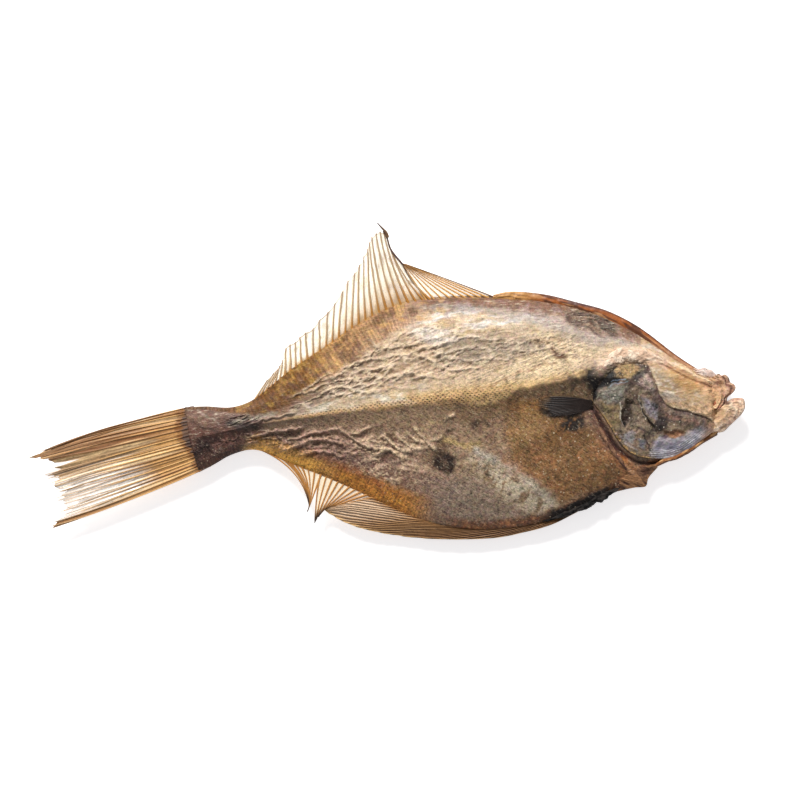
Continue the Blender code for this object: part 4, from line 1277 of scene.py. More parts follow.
def beyond_root(p, t):
    """How far out, in mm, a point of the tail lies beyond the ragged end of the dark skin."""
    place = fan(TAIL, p, t)
    jags = (
        2.2 * (grain(place[..., 1] / 1.1, place[..., 0] / 3, 355) - 0.5)
        + 1.2 * (grain(place[..., 1] * 1.6, place[..., 0], 357) - 0.5)
    )
    return through(TAIL_ROOT, place[..., 1]) - place[..., 0] + jags


# %% Colours of the tail
def tail_strands(p, t, count, seed, low, high):
    """Thin uneven strands that run along the rays, from 0 to 1."""
    bend = 0.5 * grain(p * count * 0.7, t * 5, seed + 1)
    return ease(grain(p * count + bend, t * 2.2 + 9, seed), low, high)


def tail_colour(p, t, between):
    """Golden beige with brown and cream strands, darker above, pale near the lower end."""
    upper = ease(p + 0.03 * grain(t * 9, 0 * t, 359), 0.62, 0.72)
    pale = ease(t + 0.25 * (0.5 - p), 0.36, 0.62) * ease(p, 0.66, 0.54) * ease(p, 0.02, 0.1)
    streak = bell(p, 0.575 + 0.03 * t, 0.018) * ease(t, 0.3, 0.45) * ease(t, 0.95, 0.85)
    out = beyond_root(p, t)
    band = ease(out, 3.6, 1.6) * (0.6 + 0.4 * tail_strands(p, t, 70, 385, 0.3, 0.6))
    root = ease(out, 0.3, -0.2)
    return coats(plain(196, 148, 88, p),
        ((204, 168, 120), ease(t, 0.3, 0.55)),
        ((255, 250, 244), 0.95 * pale),
        ((200, 146, 88), 0.85 * upper * (1 - 0.6 * ease(t, 0.78, 0.95))),
        ((132, 92, 58), (0.85 - 0.55 * pale) * tail_strands(p, t, 52, 361, 0.56, 0.74)),
        ((242, 210, 158), 0.65 * tail_strands(p, t, 42, 371, 0.58, 0.76)),
        ((116, 70, 44), 0.75 * tail_strands(p, t, 66, 381, 0.5, 0.62) * upper * ease(t, 0.12, 0.4)
            * (1 - 0.6 * ease(t, 0.8, 0.95))),
        ((124, 82, 50), 0.55 * upper * tail_strands(p, t, 110, 399, 0.5, 0.68)
            * (1 - 0.5 * ease(t, 0.8, 0.95))),
        ((118, 84, 56), 0.75 * streak),
        ((160, 112, 64), 0.85 * ease(p, 0.06, 0) + 0.5 * ease(p, 0.97, 1)),
        ((126, 78, 34), 0.92 * band),
        ((72, 52, 46), 0.95 * root),
        ((128, 96, 76), 0.8 * root * ease(p, 0.5, 0.7)),
    )


def tail_clear(p, t, between):
    """Opaque at the root, thin between the strands near the lower end, split under the bundle."""
    lower = ease(p, 0.62, 0.5) * ease(p, 0.02, 0.08)
    thin = ease(t, 0.4, 0.7) * lower * (1 - tail_strands(p, t, 60, 361, 0.4, 0.6))
    inward = (t - 0.76) * 0.09 - np.abs(p - 0.67) + 0.014 * (grain(p * 90, t * 5, 387) - 0.5)
    gap = ease(inward, -0.005, 0.005)
    holes = ease(grain(p * 36, t * 9, 389), 0.7, 0.8) * ease(t, 0.7, 0.85) * lower
    return np.clip(1.0 - 0.58 * thin - 1.3 * gap - 0.7 * holes, 0.0, 1)


def tail_ray_colour(p, t):
    """Golden beige near the root, thin and brown near the end."""
    own = grain(p * 60, 0 * t, 391)
    out = beyond_root(p, t)
    return coats(plain(216, 170, 106, p),
        ((160, 116, 70), ease(own, 0.45, 0.8)),
        ((206, 174, 136), 0.7 * ease(t, 0.5, 0.8)),
        ((150, 100, 62), 0.7 * ease(p, 0.64, 0.72) * ease(t, 0.2, 0.5)),
        ((136, 86, 40), 0.85 * ease(out, 3.4, 1.6)),
        ((72, 52, 46), 0.95 * ease(out, 0.4, -0.2)),
    )


# %% Web and rays of the tail
fin_web(
    "tail_web", TAIL, 96, tail_reach, tail_colour, tail_clear, finer=9, pleat=-0.4, thickness=0.25,
)
tail_out = np.linspace(0, 1, 61)[None, :]
fork = TAIL["shares"][:, None] + 0.02 * (lattice(np.arange(21), 0 * np.arange(21), 393)[:, None] - 0.5)
parting = 0.001 + 0.012 * ease(tail_out, 0.35, 1)
tail_p = np.clip(np.concatenate([fork - parting, fork + parting]), 0.003, 0.997)
tail_p = tail_p + 0.022 * tail_out * (grain(tail_p * 50, tail_out * 3, 395) - 0.5)
tail_ends = (
    0.995 - 0.06 * lattice(np.arange(42), 0 * np.arange(42), 397)[:, None] * ease(tail_p[:, -1:], 0, 0.12)
)
# No ray runs where the web splits under the upper bundle.
keep = ~((tail_p[:, -1] > 0.635) & (tail_p[:, -1] < 0.69))
fin_rays("tail_rays", TAIL, tail_p[keep], 60, tail_ends[keep], (0.25, 0.1), tail_ray_colour, 11, 6)

# %% [markdown]
# ## The head's plates
# The gill cover is a thin bony plate with a free rear edge. It is built as rings that grow
# from its middle to its outline, rolled under at the rim, so it is a closed shell. Its
# colours are a list of zones, laid on one after another. The fin behind it has dried onto the
# skin. It could be painted on the skin, but then its edge would throw no shadow.


# %% A plate from rings
def plate_piece(name, outline, surface, rings, around, thickness):
    """A closed plate: rings from the middle to a smooth outline over surface(x, y), then back."""
    closed = list(outline) + [outline[0]]
    rim_line = along(closed, np.linspace(0, 1, around + 1)[:-1])
    middle = rim_line.mean(axis=0)
    share = np.concatenate([np.linspace(0.01, 1, rings), [1.0], np.linspace(0.98, 0.01, rings // 4)])
    plan = middle + (rim_line - middle)[None] * share[:, None, None]
    x, y = plan[..., 0], plan[..., 1]
    z = surface(x, y)
    z[rings:] -= thickness
    z[rings - 1] -= thickness * 0.3
    piece = ring_piece(name, np.dstack([plan, z]))
    return piece, x, y


# %% Zones of the gill cover, in mm
V_NOTCH = [(99.5, -7.8), (101.9, -8.8), (101, -15), (98.6, -18.9), (97.3, -17.5), (97.2, -12.4)]
CRACK = [(105, -9.2), (106.2, -12.8), (108.6, -17), (110.4, -19.4)]
CRACK_LOW = [(106.6, -22.9), (107.8, -25.8), (109.5, -29.2)]
ORANGE = [
    (114.2, -20.8), (117.1, -20.8), (121.3, -20.4), (123.9, -20.8), (123, -22.5), (118.8, -23.7),
    (114.6, -23.3),
]
NACRE = [
    (113.7, -23.3), (123.9, -22.9), (130.6, -19.5), (135.3, -19.5), (135.7, -22), (130.6, -25.8),
    (125.5, -29.7), (120.1, -32.2), (113.7, -32.6), (110.4, -29.7), (111.2, -26.3),
]
COVER_CORNER = [
    (83, -9.8), (82, -4.3), (85.7, 1.2), (90.3, 5.6), (93.8, 6.8), (93.6, 2.4), (97.2, 1), (95.4, -0.8),
    (90.3, -1.9), (86.6, -4.6), (85.4, -8),
]
# Each zone is an outline, its colour, the thickness of the coat and its border's softness.
COVER_ZONES = [
    ([(87, -5), (92, -1.6), (99, -1.8), (97.7, -7.7), (90.8, -9.5)], (134, 130, 120), 0.85, 1.6),
    ([(88.4, -9.5), (96, -9.8), (96.8, -18.2), (93.5, -19.5), (89.7, -14)], (128, 108, 76), 0.85, 1.4),
    ([(104.4, 2.8), (108.7, 5), (110.4, -1.4), (112, -5.6), (107.4, -4.3), (104.4, -1.4)], (172, 150, 138),
        0.85, 1.4),
    ([(93.5, -20.4), (99, -19.5), (105.3, -21.2), (108.7, -26.7), (109.5, -31.3), (105.3, -31.3),
        (100.2, -28.4), (96, -23.7)], (136, 114, 94), 0.8, 1.4),
    ([(98.4, -21.8), (101.6, -21), (103.4, -23.4), (101, -25.8), (98.6, -24.4)], (150, 150, 158), 0.7, 1),
    ([(104.4, -23.6), (107.2, -24.4), (107, -28.2), (104.2, -27.4)], (92, 104, 122), 0.6, 0.8),
    ([(105.8, -6.4), (108.4, -7), (111.2, -9.4), (112.6, -12), (111.2, -15.4), (108.9, -15), (106.6, -11)],
        (136, 128, 134), 0.85, 1),
    ([(112.5, -8.5), (115, -11), (117, -14.4), (114.6, -13.6), (112, -11)], (96, 76, 72), 0.8, 1),
    ([(110.6, -16.5), (113.2, -14), (116.3, -15.4), (115.8, -20.1), (113.3, -20.9), (110.6, -18.8)],
        (38, 32, 34), 0.8, 0.8),
    (NACRE, (200, 192, 202), 0.9, 2),
    ([(110, -24), (116, -25), (124, -24.4), (128, -23), (124, -27), (114, -29.6)], (100, 98, 106), 0.6,
        1.2),
    (ORANGE, (92, 60, 38), 0.95, 0.9),
    ([(117, -22.4), (123.4, -21.6), (124.2, -22.6), (118.2, -23.8)], (170, 122, 88), 0.8, 0.6),
    ([(94.4, 1.9), (94.6, 5.2), (98, 7.5), (101.7, 7.6), (104, 6.2), (103.8, 3.6), (101, 2), (97.4, 1.2)],
        (172, 142, 98), 0.9, 0.9),
    ([(101.4, 2.4), (104.2, 4), (108.4, 7), (108.8, 5.4), (105.4, 1.4), (103, -0.2)], (54, 46, 48), 0.75,
        0.8),
    (COVER_CORNER, (12, 9, 11), 0.98, 0.8),
    (V_NOTCH, (50, 38, 30), 0.95, 0.8),
]

# %% Lines on the gill cover
# Each line is a path, its colour, its width in mm and the thickness of the coat.
COVER_LINES = [
    # Painted highlights: the next two lines are pale blue streaks.
    ([(92.6, -0.2), (96, 0.7), (98.6, 1)], (150, 168, 186), 0.22, 0.75),
    ([(91.1, -2.3), (94.7, -1), (99.2, 0.1)], (140, 152, 160), 0.26, 0.7),
    ([(86.4, -6.6), (91.2, -4.4), (96.6, -2.6)], (160, 156, 142), 0.25, 0.6),
    ([(86.8, -8.2), (91.2, -7.6), (96, -7.2)], (150, 142, 120), 0.25, 0.6),
    ([(88.2, -11.4), (92.4, -11.2), (95.4, -12.2)], (74, 62, 50), 0.4, 0.6),
    ([(90.8, -15.4), (94, -14.6), (96.4, -14.8)], (160, 146, 116), 0.3, 0.5),
    # Painted highlight: a violet-blue streak along a fold.
    ([(86.2, 0.6), (89.4, 3), (92.6, 6.2)], (116, 112, 142), 0.5, 0.85),
    ([(96.2, -9), (96.8, -13.4), (97.6, -18.3)], (222, 214, 196), 0.22, 0.9),
    ([(98, -17.8), (98.6, -18.8)], (10, 8, 8), 0.6, 0.95),
    ([(104.2, -6.4), (105, -10.4), (107.4, -15.8)], (206, 198, 190), 0.24, 0.8),
    ([(107.4, -7.4), (109.8, -10.4), (111.6, -14)], (176, 168, 178), 0.35, 0.6),
    ([(103.4, -19.6), (106.8, -21.4), (110.4, -22.4)], (56, 48, 48), 0.5, 0.7),
    ([(96.6, -22.4), (100, -26.6), (104.4, -29.4)], (176, 166, 164), 0.5, 0.6),
    ([(116, -14.4), (123, -15.4), (130, -17.6)], (150, 112, 98), 0.9, 0.7),
    ([(118, -17.4), (125, -18), (131, -19.2)], (92, 70, 66), 0.8, 0.6),
    ([(134.2, -18.4), (136, -18)], (70, 44, 40), 1, 0.85),
    # Painted shade along the foot of the cheek's step.
    (CHEEK_EDGE, (96, 74, 70), 1.6, 0.7),
    (CRACK, (20, 15, 15), 0.4, 1),
    (CRACK_LOW, (40, 32, 32), 0.35, 0.8),
]
LOWER_RIM = [(108.5, -32.4), (117.5, -31.9), (123, -30), (128.6, -26.3), (133.3, -22.4), (136.4, -19)]
REAR_RIM = [(84.6, -9.4), (90.9, -16.8), (95.6, -24.4), (100.5, -29.7), (105.5, -32), (112, -33)]
RING_STEP = 0.85
COVER_BONE = [(98, 5.6), (101.5, -2), (104.6, -9.4), (108.2, -15), (112.5, -18.6)]


# %% The gill cover
def cover_height(x, y):
    """The trunk's height plus a low dome, the cover's ridges, its V-shaped dent and growth rings."""
    dome = 1.1 * inside(GILL, x, y, 6)
    away = distance(LOWER_RIM, x, y)
    lift = 0.15 + dome + 0.08 * np.sin(away * math.tau / RING_STEP) * ease(away, 3.6, 2.2)
    lift = lift + 1.0 * near(COVER_BONE, x, y, 1.2) - 1.3 * inside(V_NOTCH, x, y, 0.9)
    lift = lift - 0.9 * near(CRACK, x, y, 0.5) - 0.4 * near(CRACK_LOW, x, y, 0.5)
    lift = lift - 0.7 * inside(ORANGE, x, y, 2) - 0.6 * inside(COVER_CORNER, x, y, 1.2)
    lift = lift - 0.7 * near(CHEEK_EDGE, x, y, 1.4) - 1.4 * near(COVER_CORNER[:5], x, y, 2.2)
    return (
        trunk_top(x, y) + lift + 0.9 * (cloud(x, y, 3, 401) - 0.5) + 0.4 * (cloud(x, y, 1.1, 403) - 0.5)
    )


def cover_colour(x, y):
    """Grey-brown bone with nacre along the lower edge, black corners and orange and ochre skin."""
    wx, wy = wander(x, y, 1, 2.6, 411)
    away = distance(LOWER_RIM, x, y)
    rings = (0.5 + 0.5 * np.sin(away * math.tau / RING_STEP)) ** 2 * ease(away, 5.2, 3.2)
    gold = near(REAR_RIM, x, y, 0.7) * ease(cloud(x, y, 1.6, 431), 0.42, 0.54)
    return coats(plain(128, 110, 92, x),
        ((72, 58, 54), 0.75 * ease(cloud(x, y, 4, 421), 0.5, 0.62)),
        *[(tone, amount * inside(zone, wx, wy, soft)) for zone, tone, amount, soft in COVER_ZONES],
        *[(tone, amount * near(line, wx, wy, width)) for line, tone, width, amount in COVER_LINES],
        ((236, 238, 248), 0.8 * rings * ease(x, 108, 113) * ease(x, 133, 128)),
        ((132, 128, 150), 0.6 * ease(cloud(x * 0.4, y * 0.8, 2, 423), 0.5, 0.66) * inside(NACRE, x, y, 2)),
        ((56, 44, 40), 0.85 * spot(x, y, (104, 3.3), 1.2)),
        ((186, 146, 116), 0.8 * ease(x - 0.4 * (y + 20), 130, 135)),
        ((222, 178, 112), 0.9 * gold),
    )


gill_cover, gx, gy = plate_piece("gill_cover", GILL, cover_height, 120, 460, 0.9)
store(gill_cover, tint=cover_colour(gx, gy), calm=inside(NACRE, gx, gy, 2).ravel())

# %% The pectoral fin, dried onto the skin
PECTORAL = dict(
    base=[(0, 85.4, -8, 0), (0.5, 85, -9.8, 0), (1, 84.8, -11.4, 0)],
    tips=[
        (0, 54.2, -7.9, 0), (0.25, 54.4, -10, 0), (0.5, 56.4, -12.6, 0), (0.8, 60.6, -15.2, 0),
        (1, 65, -16, 0),
    ],
    bows=((0.0, 2.2), (0.0, -0.8), 3),
)
pec_p, pec_t = spread(145, 81)
pec_grid = fan(PECTORAL, pec_p, pec_t * (1 - 0.07 * grain(pec_p * 24, 0 * pec_p, 441)))
pec_x, pec_y = pec_grid[..., 0], pec_grid[..., 1]
pec_wave = np.sin(pec_p * math.tau * 15 + 3 * grain(pec_p * 5, pec_t * 4, 443))
pec_grid[..., 2] = trunk_top(pec_x, pec_y) + 0.1 + 0.12 * pec_wave + 0.25 * ease(pec_t, 0, 0.4)
pectoral = sheet_piece("pectoral_fin", pec_grid, 0.3)
pec_wx = pec_x + 6 * (cloud(pec_x * 0.3, pec_y, 1.4, 445) - 0.5)
pec_colour = coats(plain(14, 10, 12, pec_p),
    # Painted sheen along the crests of the fin's ripples.
    ((92, 70, 62), 0.6 * ease(pec_wave, 0.5, 0.95)),
    ((140, 106, 68), ease(pec_wx, 67, 60)),
    ((186, 150, 104), 0.75 * ease(pec_p, 0.05, 0) * ease(pec_x, 82, 76)),
)
pec_soft = ease(pec_t, 0, 0.04) * ease(pec_t, 0.85, 0.4) * ease(pec_p, 0, 0.06) * ease(pec_p, 1, 0.8)
pec_soft = ease(pec_soft + 0.7 * (cloud(pec_x * 0.4, pec_y, 1.2, 447) - 0.5), 0.1, 0.5)
store_both(pectoral, tint=pec_colour, solid=pec_soft, share=pec_p, out=pec_t)

# %% [markdown]
# ## Lips, bars and eyes
# Each jaw is a patch between a line inside the head and its free rim, folded by a wave and
# thinned towards the rim. The bars of the throat are tubes whose width and height change
# along a curved spine, with creases pressed into them by noise. Lumps and eyes are squashed
# balls, pale where the skin has dried over them. They could be sculpted by hand. A rim or a
# spine and a few widths are easier to change.


# %% A bar along a spine
def bar_piece(name, spine, widths, heights, crease=0.25, steps=110, around=48, seed=0):
    """Oval rings square to a smooth spine, their size given by stations, creased by noise."""
    share = np.linspace(0, 1, steps)
    middle = along(spine, share)
    run = np.gradient(middle, axis=0)
    side_way = np.stack([-run[:, 1], run[:, 0], np.zeros(steps)], axis=-1)
    side_way /= np.linalg.norm(side_way, axis=1)[:, None]
    turn = np.arange(around) * math.tau / around
    length = share[:, None] * np.linalg.norm(np.diff(middle, axis=0), axis=1).sum()
    lumps = cloud(length + 0 * turn, 4 * np.cos(turn)[None, :] + 9, 3.4, seed) - 0.5
    cuts = np.abs(cloud(length + 3 * np.sin(turn)[None, :], 5 * np.cos(turn)[None, :], 2.2, seed + 3) - 0.5)
    size = 1 + crease * (1.6 * lumps + 2.4 * np.minimum(cuts, 0.12) - 0.24)
    round_end = np.sqrt(np.clip(1 - (2 * share - 1) ** 12, 0.02, 1))[:, None]
    width = through(widths, share)[:, None] * size * round_end
    height = through(heights, share)[:, None] * size * round_end
    rings = middle[:, None] + side_way[:, None] * (np.cos(turn)[None] * width)[..., None]
    rings[..., 2] += np.sin(turn)[None] * height
    piece = ring_piece(name, rings)
    return piece, rings, np.sin(turn), np.cos(turn), lumps


def paint_bar(made, tone, highlight_tone, seed, shade_side_tone=None):
    """A paler painted highlight in patches on the bar's upper side, and a darker painted shade on one side
    of it.
    """
    piece, rings, up, inward, lumps = made
    patch = ease(cloud(rings[..., 0], rings[..., 1], 2.4, seed) + lumps, 0.42, 0.66)
    colour = glaze(plain(*tone, patch), dye(*highlight_tone), patch * ease(up, -0.2, 0.6))
    if shade_side_tone:
        colour = glaze(colour, dye(*shade_side_tone), 0.85 * ease(inward, 0.35, 0.8))
    store(piece, tint=colour)


# %% Rims and roots of the jaws, in mm
UPPER_RIM = [
    (128.4, 6.2), (130, 5.4), (133, 5.9), (134.6, 5), (135.6, 3.8), (137.3, 2.5), (138.8, 3.5),
    (140.1, 2.7), (141.4, 3.1), (143.2, 1.6), (143.8, -0.2), (145.3, -1.1), (145.8, -2.5), (145.2, -4),
    (143.6, -5.5), (142.2, -6.8), (142, -8.6), (141, -10.6), (139.8, -12),
]
UPPER_ROOT = [(126, 2.6), (129.6, 0.8), (133, -1.2), (134, -4.6), (136.2, -7.6), (134.4, -10.8)]
LOWER_LIP_RIM = [
    (140.6, -10), (142.4, -8.2), (144.6, -7), (147.5, -6.7), (149.1, -7.2), (149.7, -9.3), (149.7, -11),
    (148.4, -13.5), (145.9, -16.1), (143.3, -18.6), (140.7, -21.1), (136.6, -21.6),
]
LOWER_LIP_ROOT = [
    (136.4, -12.4), (137.6, -13.2), (136, -15.2), (134.6, -16.6), (132.4, -18.8), (131.2, -19.8),
]


# %% A lip
def jaw_piece(name, root, rim, strips, seed):
    """A lip between a line inside the head and its free rim. Its top comes down at the rim as
    sqrt(1 - 0.97t^2), its thickness goes as sqrt(1 - 0.985t^7), and a bent sine wave folds it
    into `strips` strips."""
    p, t = spread(241, 81)
    inner, outer = along(root, p[:, 0]), along(rim, p[:, 0])
    plan = inner[:, None] + (outer - inner)[:, None] * t[..., None]
    x, y = plan[..., 0], plan[..., 1]
    curl = np.sqrt(1 - 0.97 * t * t)
    wave = np.sin(math.tau * (strips * t + 1.1 * cloud(x, y, 2.6, seed)))
    lumps = 0.6 * (cloud(x, y, 1.8, seed + 5) - 0.5)
    roof = np.maximum(trunk_top(np.minimum(x, 138.5), y), 6.4 + 3.4 * curl)
    high = (
        roof - (0.4 + 1.4 * cloud(x, y, 1.8, seed + 9)) * ease(t, 0.4, 0)
        + (0.3 * wave + 1.1 * lumps) * ease(t, 0.2, 0.45) * (0.3 + 0.7 * curl)
    )
    deep = 6.2 - 2.6 * curl
    lip = np.sqrt(1 - 0.985 * t**7)
    piece = sheet_piece(name, np.dstack([plan, (high + deep) / 2]), (high - deep) * lip)
    return piece, p, t, x, y, wave, lumps


def paint_jaw(made, tone, highlight_tone, valley_shade_tone, marks, seed):
    """Painted highlights on the fold crests and painted shade in the fold valleys, a thin brown rim and a
    few marks of (place, size, tone).
    """
    piece, p, t, x, y, wave, lumps = made
    start = 0.25 + 0.5 * cloud(x, y, 2.4, seed + 7)
    folded = ease(t - start, -0.1, 0.25)
    colour = coats(paint_head(plain(240, 196, 152, x), x, y),
        (tone, folded),
        (highlight_tone, 0.7 * folded * ease(wave + 3 * lumps, 0.2, 0.9)),
        (valley_shade_tone, 0.85 * folded * ease(-wave - 3 * lumps, 0.2, 1)),
    )
    for (px, py), width, height, shade, amount in marks:
        away = ((x - px) / width) ** 2 + ((y - py) / height) ** 2
        colour = glaze(colour, dye(*shade), amount * np.exp(-away * away))
    colour = glaze(colour, dye(150, 112, 90), 0.6 * ease(t, 0.93, 0.99))
    under = glaze(plain(140, 104, 76, x), dye(100, 74, 56), ease(cloud(x, y, 3, seed), 0.4, 0.6))
    rough = (0.2 + 0.5 * folded).ravel()
    store(piece, tint=np.concatenate([colour.reshape(-1, 3), under.reshape(-1, 3)]),
        grit=np.concatenate([rough, rough]), side=np.ones(2 * p.size))


# %% The two jaws
# Each jaw's second tone is the painted highlight on its fold crests, and its third the painted shade in the
# valleys.
paint_jaw(
    jaw_piece("upper_jaw", UPPER_ROOT, UPPER_RIM, 4.0, 501), (156, 114, 90), (204, 166, 138), (92, 58, 44),
    [((132.6, 4.2), 3.6, 1.9, (206, 186, 180), 0.95), ((138.0, -0.4), 2.6, 1, (112, 66, 50), 0.8),
     ((142.4, -1.6), 1.2, 0.8, (110, 66, 52), 0.7), ((139.4, -11.2), 1.6, 1.4, (150, 84, 56), 0.85)], 511,
)
paint_jaw(
    jaw_piece("lower_jaw", LOWER_LIP_ROOT, LOWER_LIP_RIM, 1.6, 561), (240, 206, 178), (252, 230, 206),
    (198, 156, 130),
    [((141.6, -8.9), 1.8, 0.9, (92, 56, 44), 0.9), ((146.4, -7.4), 3.2, 0.6, (168, 126, 106), 0.8),
     ((134.8, -18.0), 1.4, 1.2, (96, 62, 50), 0.6)], 571,
)

# %% Bars of the throat and shoulder
# Each bar's second tone is its painted highlight on the upper side. The throat bar's last tone is the
# painted shade on its side turned away from the lamp.
paint_bar(bar_piece(
    "throat_bar",
    [(138.4, -20.5, 7.2), (132, -24.7, 7.4), (125.8, -29.1, 7.6), (120.4, -32, 7.6), (114.8, -33.6, 7.6),
        (111, -36, 7.4)],
    [(0, 1.3), (0.4, 1.1), (0.8, 0.9), (1, 0.7)], [(0, 1.5), (0.6, 1.8), (1, 0.9)], 0.4, seed=601,
), (152, 98, 58), (212, 162, 110), 611, (84, 44, 34))
girdle = np.array(GIRDLE)
paint_bar(bar_piece(
    "shoulder_bar", np.column_stack([girdle, trunk_top(*girdle.T) + 0.3]),
    [(0, 0.5), (0.4, 0.9), (0.8, 1.1), (1, 0.8)], [(0, 0.6), (0.5, 1.2), (1, 0.8)], 0.5, 140, 32, 621,
), (104, 72, 60), (158, 118, 92), 631)

fold = np.array(NECK_FOLD + [(119, 7.6), (124.5, 5.4), (129.5, 3.2)])
paint_bar(bar_piece(
    "neck_fold", np.column_stack([fold, trunk_top(*fold.T) + 0.4]),
    [(0, 0.8), (0.15, 2.3), (0.38, 2.9), (0.56, 1.5), (0.68, 0.6), (1, 0.3)],
    [(0, 0.5), (0.3, 1.4), (0.55, 0.9), (0.7, 0.5), (1, 0.3)], 0.9, 260, 48, 701,
), (222, 188, 162), (250, 226, 202), 711)
tar_x = np.linspace(64, 98, 40)
tar_spine = np.column_stack([tar_x, through(BELLY, tar_x) + 0.4, np.full(40, 6.4)])
paint_bar(bar_piece(
    "tar_edge", tar_spine, [(0, 0.4), (0.3, 1.2), (0.7, 1.5), (1, 0.5)], [(0, 0.6), (0.5, 1.5), (1, 0.8)],
    1.0, 200, 32, 721,
), (12, 10, 10), (44, 38, 36), 731)

# %% The pelvic fins' point at the throat
POINT = dict(
    base=[(0, 91.5, -43.6, 6.8), (0.5, 99, -38, 8.2), (1, 112, -34.6, 7.6)],
    tips=[
        (0, 96, -46.4, 6), (0.25, 103, -44.8, 6.2), (0.5, 107.9, -44.2, 6.4), (0.75, 109.2, -40.6, 6.2),
        (1, 113, -36.2, 6.4),
    ],
)
point_p, point_t = spread(101, 71)
point_grid = fan(POINT, point_p, point_t)
point_folds = grain(point_p * 16, point_t * 2, 641)
point_grid[..., 2] += (
    0.5 * np.sin(math.pi * point_t) + 0.8 * (point_folds - 0.5)
    + 0.4 * (grain(point_p * 40, point_t * 9, 643) - 0.5)
)
pelvic_point = sheet_piece("pelvic_point", point_grid, 1.1 - 0.7 * point_t)
point_colour = coats(plain(124, 90, 68, point_p),
    ((166, 120, 82), 0.8 * ease(point_folds, 0.45, 0.7)),
    ((76, 46, 38), 0.7 * ease(point_folds, 0.4, 0.2)),
)
store_both(pelvic_point, tint=point_colour)


# %% The eyes and the lumps of the snout
def ball_piece(name, centre, radii, tone, under_tone, pupil=False, rows=48, around=64):
    """A squashed ball: rings of latitude, with small caps at the poles, dented by noise."""
    rise = np.linspace(-0.98, 0.98, rows) * math.pi / 2
    turn = np.arange(around) * math.tau / around
    level = np.outer(np.cos(rise), np.cos(turn)), np.outer(np.cos(rise),
        np.sin(turn)), np.outer(np.sin(rise), np.ones(around))
    unit = np.stack(level, axis=-1)
    dents = 1 + 0.22 * (cloud(unit[..., 0] * 4 + centre[0], unit[..., 1] * 4 + centre[1], 2, 651) - 0.5)
    piece = ring_piece(name, unit * dents[..., None] * np.array(radii) + np.array(centre))
    z = unit[..., 2]
    colour = glaze(plain(*tone, z), dye(*under_tone), ease(z + 0.8 * (dents - 1), 0.5, 0))
    if pupil:
        colour = coats(colour,
            ((120, 92, 60), ease(z, -0.5, -0.75)),
            ((16, 14, 14), ease(z, -0.88, -0.93)),
        )
    store(piece, tint=colour)


ball_piece("brow_eye", (133.2, 2.0, 5.6), (4.9, 3.6, 3.4), (192, 166, 154), (164, 132, 112), True)
ball_piece("lower_eye", (126.0, -7.0, 3.1), (4.6, 4.0, 2.8), (206, 188, 182), (164, 132, 112), True)
ball_piece("corner_lump", (136.8, -10.0, 9.9), (1.5, 1.9, 1.3), (176, 108, 78), (96, 54, 40))

# %% [markdown]
# ## Shader recipes
# A material is a chain of nodes, and long chains are hard to read. Here one small class wraps
# a node's socket so that sums on it add Math nodes by themselves: `1 - mask` is a node. A
# second class holds a material and has one method for every other node.


# %% Sums on sockets
class Signal:
    """A shader socket that can be used in sums."""

    def __init__(self, recipe, socket):
        self.recipe, self.socket = recipe, socket

    def sum(self, operation, first, second=0.0):
        return self.recipe.node("ShaderNodeMath", {"operation": operation}, {0: first, 1: second})

    def __add__(self, other):
        return self.sum("ADD", self, other)

    def __sub__(self, other):
        return self.sum("SUBTRACT", self, other)

    def __rsub__(self, other):
        return self.sum("SUBTRACT", other, self)

    def __mul__(self, other):
        return self.sum("MULTIPLY", self, other)

    def sine(self):
        return self.sum("SINE", self)

    __radd__, __rmul__ = __add__, __mul__


